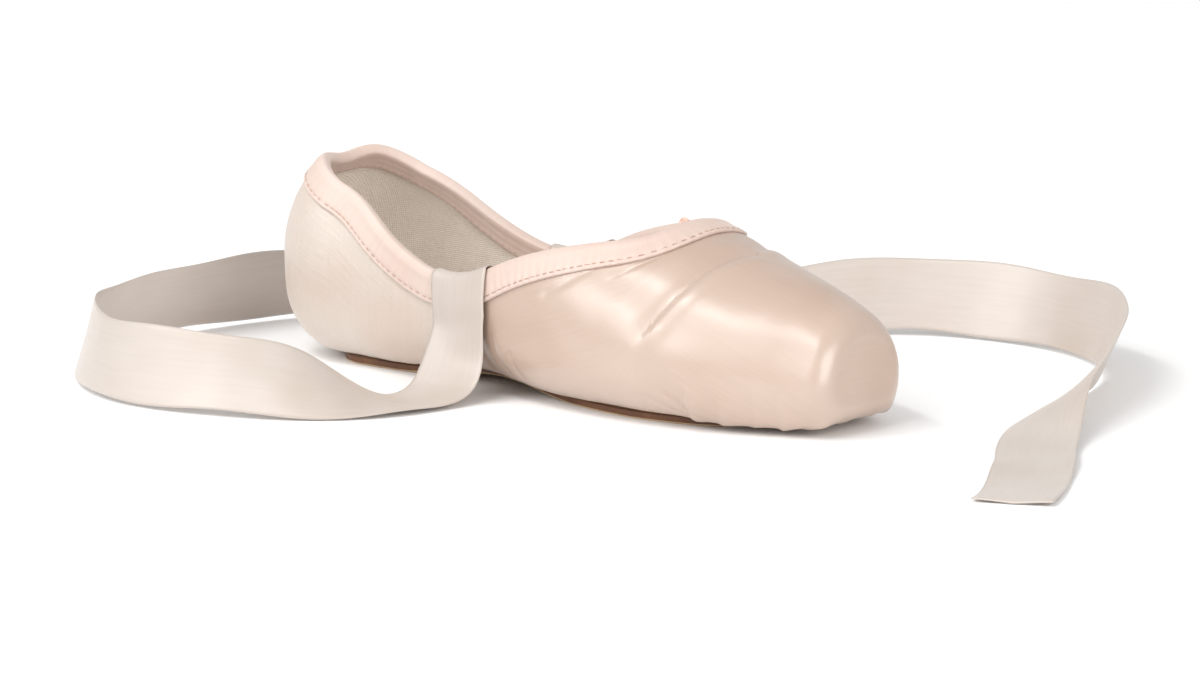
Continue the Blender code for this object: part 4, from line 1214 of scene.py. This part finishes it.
def make_ribbon_stitches(side, name):
    """The square of hand stitches that holds the ribbon's sewn end to the lining."""
    rows = np.array(ribbon_on_shoe(side))[:7]
    normal = np.cross(np.gradient(rows, axis=0), np.gradient(rows, axis=1))
    normal = unit(normal)
    inward = np.array((0, -side, 0.0))
    normal = np.where((normal @ inward)[..., None] < 0, -normal, normal)
    build = bmesh.new()
    last = rows.shape[1] - 1
    tracks = (
        [(0.5, j) for j in np.linspace(1, last - 1, 9)],
        [(5.0, j) for j in np.linspace(1, last - 1, 9)],
        [(i, 1.0) for i in np.linspace(0.8, 4.7, 6)],
        [(i, last - 1.0) for i in np.linspace(0.8, 4.7, 6)],
    )
    for track in tracks:
        spots = []
        outs = []
        for i, j in track:
            a, b = int(i), int(j)
            c, d = min(a + 1, 6), min(b + 1, last)
            low = rows[a, b] * (1 - (j - b)) + rows[a, d] * (j - b)
            high = rows[c, b] * (1 - (j - b)) + rows[c, d] * (j - b)
            spots.append(low * (1 - (i - a)) + high * (i - a))
            outs.append(normal[a, b])
        spots = np.array(spots)
        outs = np.array(outs)
        along = np.gradient(spots, axis=0)
        along = unit(along)
        stitch_row(build, spots + outs * 0.0003, along, outs, 0.0016, 0.0003, 0.00008)
    return finish_piece(build, name, STITCH_MERGE)


# The drawstring's knot and ends, on the route of its solid
DRAWSTRING_DIAMETER = 0.002
KNOT_SHAPE = (
    (-4.6, 6.6, -17.0, 1.0), (-4.9, 6.3, -12.5, 1.0), (-5.1, 5.6, -8.2, 1.0), (-5.0, 4.4, -4.6, 1.0),
    (-4.7, 2.9, -2.0, 1.1), (-4.5, 1.6, -0.9, 2.0), (-4.5, 0.0, -0.6, 2.5), (-4.5, -1.6, -0.9, 2.0),
    (-4.8, -2.8, -2.2, 1.1), (-5.3, -4.0, -5.0, 1.0), (-5.6, -4.7, -8.8, 1.0), (-5.5, -4.9, -12.6, 1.0),
    (-5.2, -4.8, -15.4, 1.0),
)


CORD_RIBS = 0.10
CORD_TWIST = 2400.0


def tube(build, path, radii, around_cells=14):
    """Add a closed tube along a path, with the ridges of a twisted cord."""
    turns = np.linspace(0, 2 * math.pi, around_cells + 1)[:-1, None]
    along = np.gradient(path, axis=0)
    along = unit(along)
    across = np.cross(along[0], (0.0, 0.0, 1.0))
    if np.linalg.norm(across) < 0.1:
        across = np.cross(along[0], (1.0, 0.0, 0.0))
    rings = []
    run = 0.0
    for i, (point, heading, radius) in enumerate(zip(path, along, radii)):
        across = across - heading * (across @ heading)
        across = across / np.linalg.norm(across)
        other = np.cross(heading, across)
        if i:
            run += np.linalg.norm(path[i] - path[i - 1])
        rib = 1 + CORD_RIBS * np.cos(3 * turns + CORD_TWIST * run)
        rings.append(point + (across * np.cos(turns) + other * np.sin(turns)) * radius * rib)
    join_rings(build, rings)


def make_drawstring():
    """The tied cord: its two ends, and a small overhand knot between them."""
    throat = collar.point(0.0)[0]
    shape = np.array(KNOT_SHAPE)
    points = throat * (1, 0, 1) + shape[:, :3] * MILLIMETRE
    knots = run_along(points)
    wheres = np.linspace(0, knots[-1], cells(110))
    path = spline(knots, points)(wheres)
    radius = DRAWSTRING_DIAMETER / 2
    ends = 0.75 + 0.25 * ease(np.minimum(wheres, knots[-1] - wheres), 0, 0.0012)
    build = bmesh.new()
    tube(build, path, radius * ends)
    # The knot: a loop of the cord wound round the middle
    middle = points[6]
    turns = np.linspace(0, 4.2 * math.pi, cells(90))
    wound = np.stack((
        0.00135 * np.cos(turns),
        0.00075 * (turns / (2.1 * math.pi) - 1.0) + 0.0004 * np.sin(turns * 0.5),
        0.00125 * np.sin(turns),
    ), axis=1)
    tube(build, middle + wound, np.full(len(turns), radius * 0.72))
    return finish_piece(build, "drawstring_cord", STITCH_MERGE), path, knots[-1], throat


# Materials, each with its own weave, grain or nap
def fill_sockets(tree, node, sockets):
    """Set a node's sockets to values, or link them to other nodes' outputs."""
    for name, value in sockets.items():
        if isinstance(value, bpy.types.NodeSocket):
            tree.links.new(value, node.inputs[name])
        else:
            node.inputs[name].default_value = value


def add_node(tree, kind, output, sockets, **settings):
    """Add a node and return one of its outputs."""
    node = tree.nodes.new(kind)
    for name, value in settings.items():
        setattr(node, name, value)
    fill_sockets(tree, node, sockets)
    return node.outputs[output]


def start_material(name):
    material = bpy.data.materials.new(name)
    material.use_nodes = True
    tree = material.node_tree
    tree.nodes.clear()
    shader = tree.nodes.new("ShaderNodeBsdfPrincipled")
    output = tree.nodes.new("ShaderNodeOutputMaterial")
    tree.links.new(shader.outputs["BSDF"], output.inputs["Surface"])
    return material, tree, shader


def srgb(red, green, blue):
    """Linear colour from values of 0 to 255."""
    shares = np.array((red, green, blue)) / 255
    return (*np.where(shares <= 0.04045, shares / 12.92, ((shares + 0.055) / 1.055) ** 2.4), 1.0)


def noise_node(tree, vector, scale, detail=3.0, roughness=0.55, stretch=(1, 1, 1)):
    mapped = add_node(tree, "ShaderNodeMapping", "Vector", {"Scale": stretch, "Vector": vector})
    sockets = {"Scale": scale, "Detail": detail, "Roughness": roughness, "Vector": mapped}
    return add_node(tree, "ShaderNodeTexNoise", "Fac", sockets)


def wave_node(tree, vector, scale, direction):
    sockets = {"Scale": scale, "Distortion": 0.6, "Detail Scale": 3.0, "Vector": vector}
    return add_node(tree, "ShaderNodeTexWave", "Fac", sockets, wave_type="BANDS", bands_direction=direction)


def ramp_node(tree, value, stops):
    ramp = tree.nodes.new("ShaderNodeValToRGB")
    elements = ramp.color_ramp.elements
    while len(elements) < len(stops):
        elements.new(0.5)
    for element, (position, colour) in zip(elements, stops):
        element.position = position
        element.color = colour
    tree.links.new(value, ramp.inputs["Fac"])
    return ramp.outputs["Color"]


def bump_node(tree, height, distance, strength, before=None):
    sockets = {"Distance": distance, "Strength": strength, "Height": height}
    if before is not None:
        sockets["Normal"] = before
    return add_node(tree, "ShaderNodeBump", "Normal", sockets)


def range_node(tree, value, low, high):
    return add_node(tree, "ShaderNodeMapRange", "Result", {"To Min": low, "To Max": high, "Value": value})


def in_metres(tree):
    """The object's own coordinates."""
    return tree.nodes.new("ShaderNodeTexCoord").outputs["Object"]


def on_cloth(tree):
    """The cloth's own coordinates, which each cloth mesh carries, in metres."""
    return add_node(tree, "ShaderNodeAttribute", "Vector", {}, attribute_name="cloth")


def multiplied(tree, share, first, second):
    sockets = {"Factor": share, "A": first, "B": second}
    return add_node(tree, "ShaderNodeMix", "Result", sockets, data_type="RGBA", blend_type="MULTIPLY")


WHITE = (1, 1, 1, 1)


def satin_material(name, light, middle, dark, roughness, threads=2600.0, thread_strength=0.25,
                   sheen=0.25, crosshatch=0.0, coat=0.12, stretch=(1, 0.05, 1), gloss_level=0.6, streak=0.95):
    """Smooth cloth with long float threads: a soft broad gloss and faint streaks along the threads."""
    material, tree, shader = start_material(name)
    cloth = on_cloth(tree)
    space = in_metres(tree)
    broad = noise_node(tree, space, 26.0, 2.0, 0.5)
    colour = ramp_node(tree, broad, ((0.25, dark), (0.5, middle), (0.75, light)))
    streaks = noise_node(tree, cloth, threads * 0.35, 2.0, 0.6, stretch)
    tint = ramp_node(tree, streaks, ((0.25, (streak, streak, streak, 1)), (0.65, WHITE)))
    normal = bump_node(tree, noise_node(tree, cloth, threads, 1.0, 0.5, stretch), 0.00006, thread_strength)
    normal = bump_node(tree, noise_node(tree, space, 260.0, 3.0, 0.6), 0.00035, 0.10, normal)
    if crosshatch:
        for strength, hatch in ((crosshatch, (1.0, 0.14, 1)), (crosshatch * 0.8, (0.14, 1.0, 1))):
            threads_height = noise_node(tree, cloth, 520.0, 2.0, 0.6, hatch)
            normal = bump_node(tree, threads_height, 0.0004, strength, normal)
    patches = noise_node(tree, space, 130.0, 2.0)
    fill_sockets(tree, shader, {
        "Base Color": multiplied(tree, 1.0, colour, tint),
        "Normal": normal,
        "Roughness": range_node(tree, patches, roughness - 0.05, roughness + 0.07),
        "Specular IOR Level": gloss_level,
        "Sheen Weight": sheen,
        "Sheen Roughness": 0.35,
        "Sheen Tint": (1.0, 0.96, 0.92, 1),
        "Coat Weight": coat,
        "Coat Roughness": 0.28,
    })
    return material


def woven_material(name, light, dark, pitch, roughness=0.8, strength=0.5, twill=False):
    """Matt cotton with a visible over-and-under weave."""
    material, tree, shader = start_material(name)
    space = in_metres(tree)
    colour = ramp_node(tree, noise_node(tree, space, 70.0, 4.0, 0.6), ((0.3, dark), (0.7, light)))
    fine = noise_node(tree, space, 1500.0, 2.0)
    fleck = ramp_node(tree, fine, ((0.3, (0.90, 0.89, 0.88, 1)), (0.6, WHITE)))
    scale = 1.0 / pitch / 3.1
    normal = None
    for direction, share in (("DIAGONAL" if twill else "X", 1.0), ("Z", 0.8)):
        waves = wave_node(tree, space, scale, direction)
        normal = bump_node(tree, waves, pitch * 0.35, strength * share, normal)
    fill_sockets(tree, shader, {
        "Base Color": multiplied(tree, 1.0, colour, fleck),
        "Normal": normal,
        "Roughness": roughness,
        "Sheen Weight": 0.2,
        "Sheen Roughness": 0.5,
        "Specular IOR Level": 0.3,
    })
    return material


def leather_material(name, light, middle, dark, roughness, grain=0.4, scuffs=True):
    """Leather with pores, fine scratches along its length and rubbed patches."""
    material, tree, shader = start_material(name)
    space = in_metres(tree)
    broad = noise_node(tree, space, 45.0, 5.0, 0.65)
    colour = ramp_node(tree, broad, ((0.30, dark), (0.52, middle), (0.75, light)))
    if scuffs:
        scratch = noise_node(tree, space, 420.0, 3.0, 0.7, (0.08, 1, 1))
        tint = ramp_node(tree, scratch, ((0.30, (0.72, 0.70, 0.68, 1)), (0.62, WHITE)))
        colour = multiplied(tree, 0.6, colour, tint)
    fill_sockets(tree, shader, {
        "Base Color": colour,
        "Normal": bump_node(tree, noise_node(tree, space, 1100.0, 4.0, 0.65), 0.00022, grain),
        "Roughness": range_node(tree, broad, roughness - 0.12, roughness + 0.12),
    })
    return material


def thread_material(name, light, dark):
    """Twisted thread with tiny plies."""
    material, tree, shader = start_material(name)
    plies = noise_node(tree, in_metres(tree), 2600.0, 2.0, 0.6, (1, 0.5, 1))
    fill_sockets(tree, shader, {
        "Base Color": ramp_node(tree, plies, ((0.3, dark), (0.6, light))),
        "Normal": bump_node(tree, plies, 0.00008, 0.4),
        "Roughness": 0.6,
        "Sheen Weight": 0.2,
    })
    return material


front_satin = satin_material(
    "front satin", srgb(191, 169, 154), srgb(185, 162, 146), srgb(177, 151, 134), 0.30, sheen=0.1,
    coat=0.3, stretch=(0.05, 1, 1), gloss_level=1.0
)
stretch_satin = satin_material(
    "stretch satin", srgb(209, 198, 188), srgb(205, 191, 180), srgb(199, 178, 163), 0.44,
    threads=1900.0, thread_strength=0.3, crosshatch=0.6, coat=0.0, streak=0.97
)
casing_cloth = satin_material(
    "casing cloth", srgb(213, 194, 184), srgb(209, 188, 177), srgb(203, 179, 166), 0.50,
    threads=2200.0, thread_strength=0.35, coat=0.0, sheen=0.3
)
ribbon_satin = satin_material(
    "ribbon satin", srgb(198, 188, 180), srgb(194, 183, 174), srgb(188, 174, 163), 0.33,
    threads=2600.0, thread_strength=0.25, coat=0.1, stretch=(0.05, 1, 1)
)
lining_cloth = woven_material("lining cotton", srgb(240, 232, 222), srgb(231, 220, 208), 0.0007, 0.85)
sock_cloth = woven_material("sock cotton", srgb(232, 217, 201), srgb(219, 200, 181), 0.0008, 0.85, twill=True)
seam_cloth = woven_material("seam cloth", srgb(241, 224, 212), srgb(231, 209, 194), 0.0006, 0.6, 0.3)
cord_cotton = woven_material("cord cotton", srgb(236, 206, 190), srgb(220, 184, 166), 0.0006, 0.85, 0.4)
pale_thread = thread_material("pale thread", srgb(252, 245, 238), srgb(236, 222, 210))
pink_thread = thread_material("pink thread", srgb(190, 156, 138), srgb(164, 130, 112))
sole_suede = leather_material(
    "sole suede", srgb(207, 184, 153), srgb(198, 172, 140), srgb(182, 153, 121), 0.78, 0.5
)
# The sole's edge is painted dark brown: painted shade for the shadowed gap where the satin tucks under the sole
sole_edge_painted_shade = leather_material(
    "sole edge painted shade", srgb(124, 84, 54), srgb(106, 68, 41), srgb(82, 50, 29), 0.5, 0.25, scuffs=False
)


side_band_left, side_band_right = make_side_seams()
ribbon_near, near_path, near_length = make_ribbon("ribbon_near", -1, RIGHT_ROUTE)
ribbon_far, far_path, far_length = make_ribbon("ribbon_far", 1, LEFT_ROUTE)
near_stitches = make_ribbon_stitches(-1, "ribbon_near_stitches")
far_stitches = make_ribbon_stitches(1, "ribbon_far_stitches")
drawstring, drawstring_path, drawstring_length, drawstring_exit = make_drawstring()

# Each piece with the solid that it stands for, its slot and its materials
for piece, node, slot, *materials in (
    (satin_front, "upper", "satin", front_satin, lining_cloth),
    (satin_heel, "upper", "satin", stretch_satin, lining_cloth),
    (make_binding(), "binding", "binding", casing_cloth),
    (make_binding_stitches(), "binding", "binding", pink_thread),
    (side_band_left, "side_seam_left", "seam", seam_cloth),
    (side_band_right, "side_seam_right", "seam", seam_cloth),
    (make_side_stitches(), "side_seam_right", "seam", pale_thread),
    (make_back_seam(), "back_seam", "seam", seam_cloth),
    (make_outsole(), "outsole", "leather", sole_suede, sole_edge_painted_shade, sole_suede),
    (make_insole(), "insole", "insole", sock_cloth, sock_cloth, sock_cloth),
    (ribbon_near, "ribbon_right", "ribbon", ribbon_satin),
    (ribbon_far, "ribbon_left", "ribbon", ribbon_satin),
    (near_stitches, "ribbon_right", "ribbon", pale_thread),
    (far_stitches, "ribbon_left", "ribbon", pale_thread),
    (drawstring, "drawstring", "cord", cord_cotton),
):
    for material in materials:
        piece.data.materials.append(material)
    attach(piece, "root")
    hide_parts(node)


def collar_top(side):
    """Where a ribbon leaves the shoe, over the collar."""
    return tuple(collar.point(collar.run_at_place(RIBBON_PLACE))[0] * (1, side, 1))


for ribbon, side, length, path, sewn in (
    (ribbon_near, -1, near_length, near_path, near_stitches),
    (ribbon_far, 1, far_length, far_path, far_stitches),
):
    collar_top(side)

# The floor
FLOOR_SIZE = 9.0
FLOOR_LEVEL = -0.00005
floor_mesh = bpy.data.meshes.new("floor")
corners = [(x * FLOOR_SIZE, y * FLOOR_SIZE, FLOOR_LEVEL) for x, y in ((-1, -1), (1, -1), (1, 1), (-1, 1))]
floor_mesh.from_pydata(corners, [], [(0, 1, 2, 3)])
floor = add_object("floor", floor_mesh)
floor_material, floor_tree, floor_shader = start_material("floor")
fill_sockets(floor_tree, floor_shader, {"Base Color": (0.96, 0.96, 0.96, 1), "Roughness": 0.75})
floor_mesh.materials.append(floor_material)

# The camera, at the photograph's angle to the right-hand shoe
AZIMUTH = math.radians(40)
ELEVATION = math.radians(11)
DISTANCE = 2.2
FRAME_WIDTH = 0.384
AIM = Vector((0.0105, 0.0, 0.017))
SENSOR = 36.0
camera_data = bpy.data.cameras.new("camera")
camera_data.sensor_width = SENSOR
camera_data.lens = SENSOR * DISTANCE / FRAME_WIDTH
camera = add_object("camera", camera_data)
towards = Vector((
    math.sin(AZIMUTH) * math.cos(ELEVATION),
    -math.cos(AZIMUTH) * math.cos(ELEVATION),
    math.sin(ELEVATION),
))
camera.location = AIM + towards * DISTANCE
camera.rotation_euler = (-towards).to_track_quat("-Z", "Y").to_euler()
bpy.context.scene.camera = camera


# Bright soft light from the left and the front, and a white surround
def add_light(name, place, size, power):
    data = bpy.data.lights.new(name, "AREA")
    data.shape = "RECTANGLE"
    data.size, data.size_y = size
    data.energy = power
    light = add_object(name, data)
    light.location = place
    light.rotation_euler = (AIM - Vector(place)).to_track_quat("-Z", "Y").to_euler()


add_light("key", (-0.62, -1.15, 0.75), (0.9, 0.22), 3)
add_light("strip", (-0.25, -0.52, 1.16), (1.2, 0.12), 4.2)
add_light("fill", (1.5, -0.45, 0.55), (1.0, 1.0), 12)
sky = bpy.data.lights.new("sky", "SUN")
sky.energy = 1.28
sky.angle = math.radians(60)
add_object("sky", sky).rotation_euler = (math.radians(48), math.radians(-22), 0)
world = bpy.data.worlds.new("world")
bpy.context.scene.world = world
world.use_nodes = True
fill_sockets(world.node_tree, world.node_tree.nodes["Background"], {"Color": WHITE, "Strength": 0.66})
bpy.context.scene.view_settings.view_transform = "Standard"
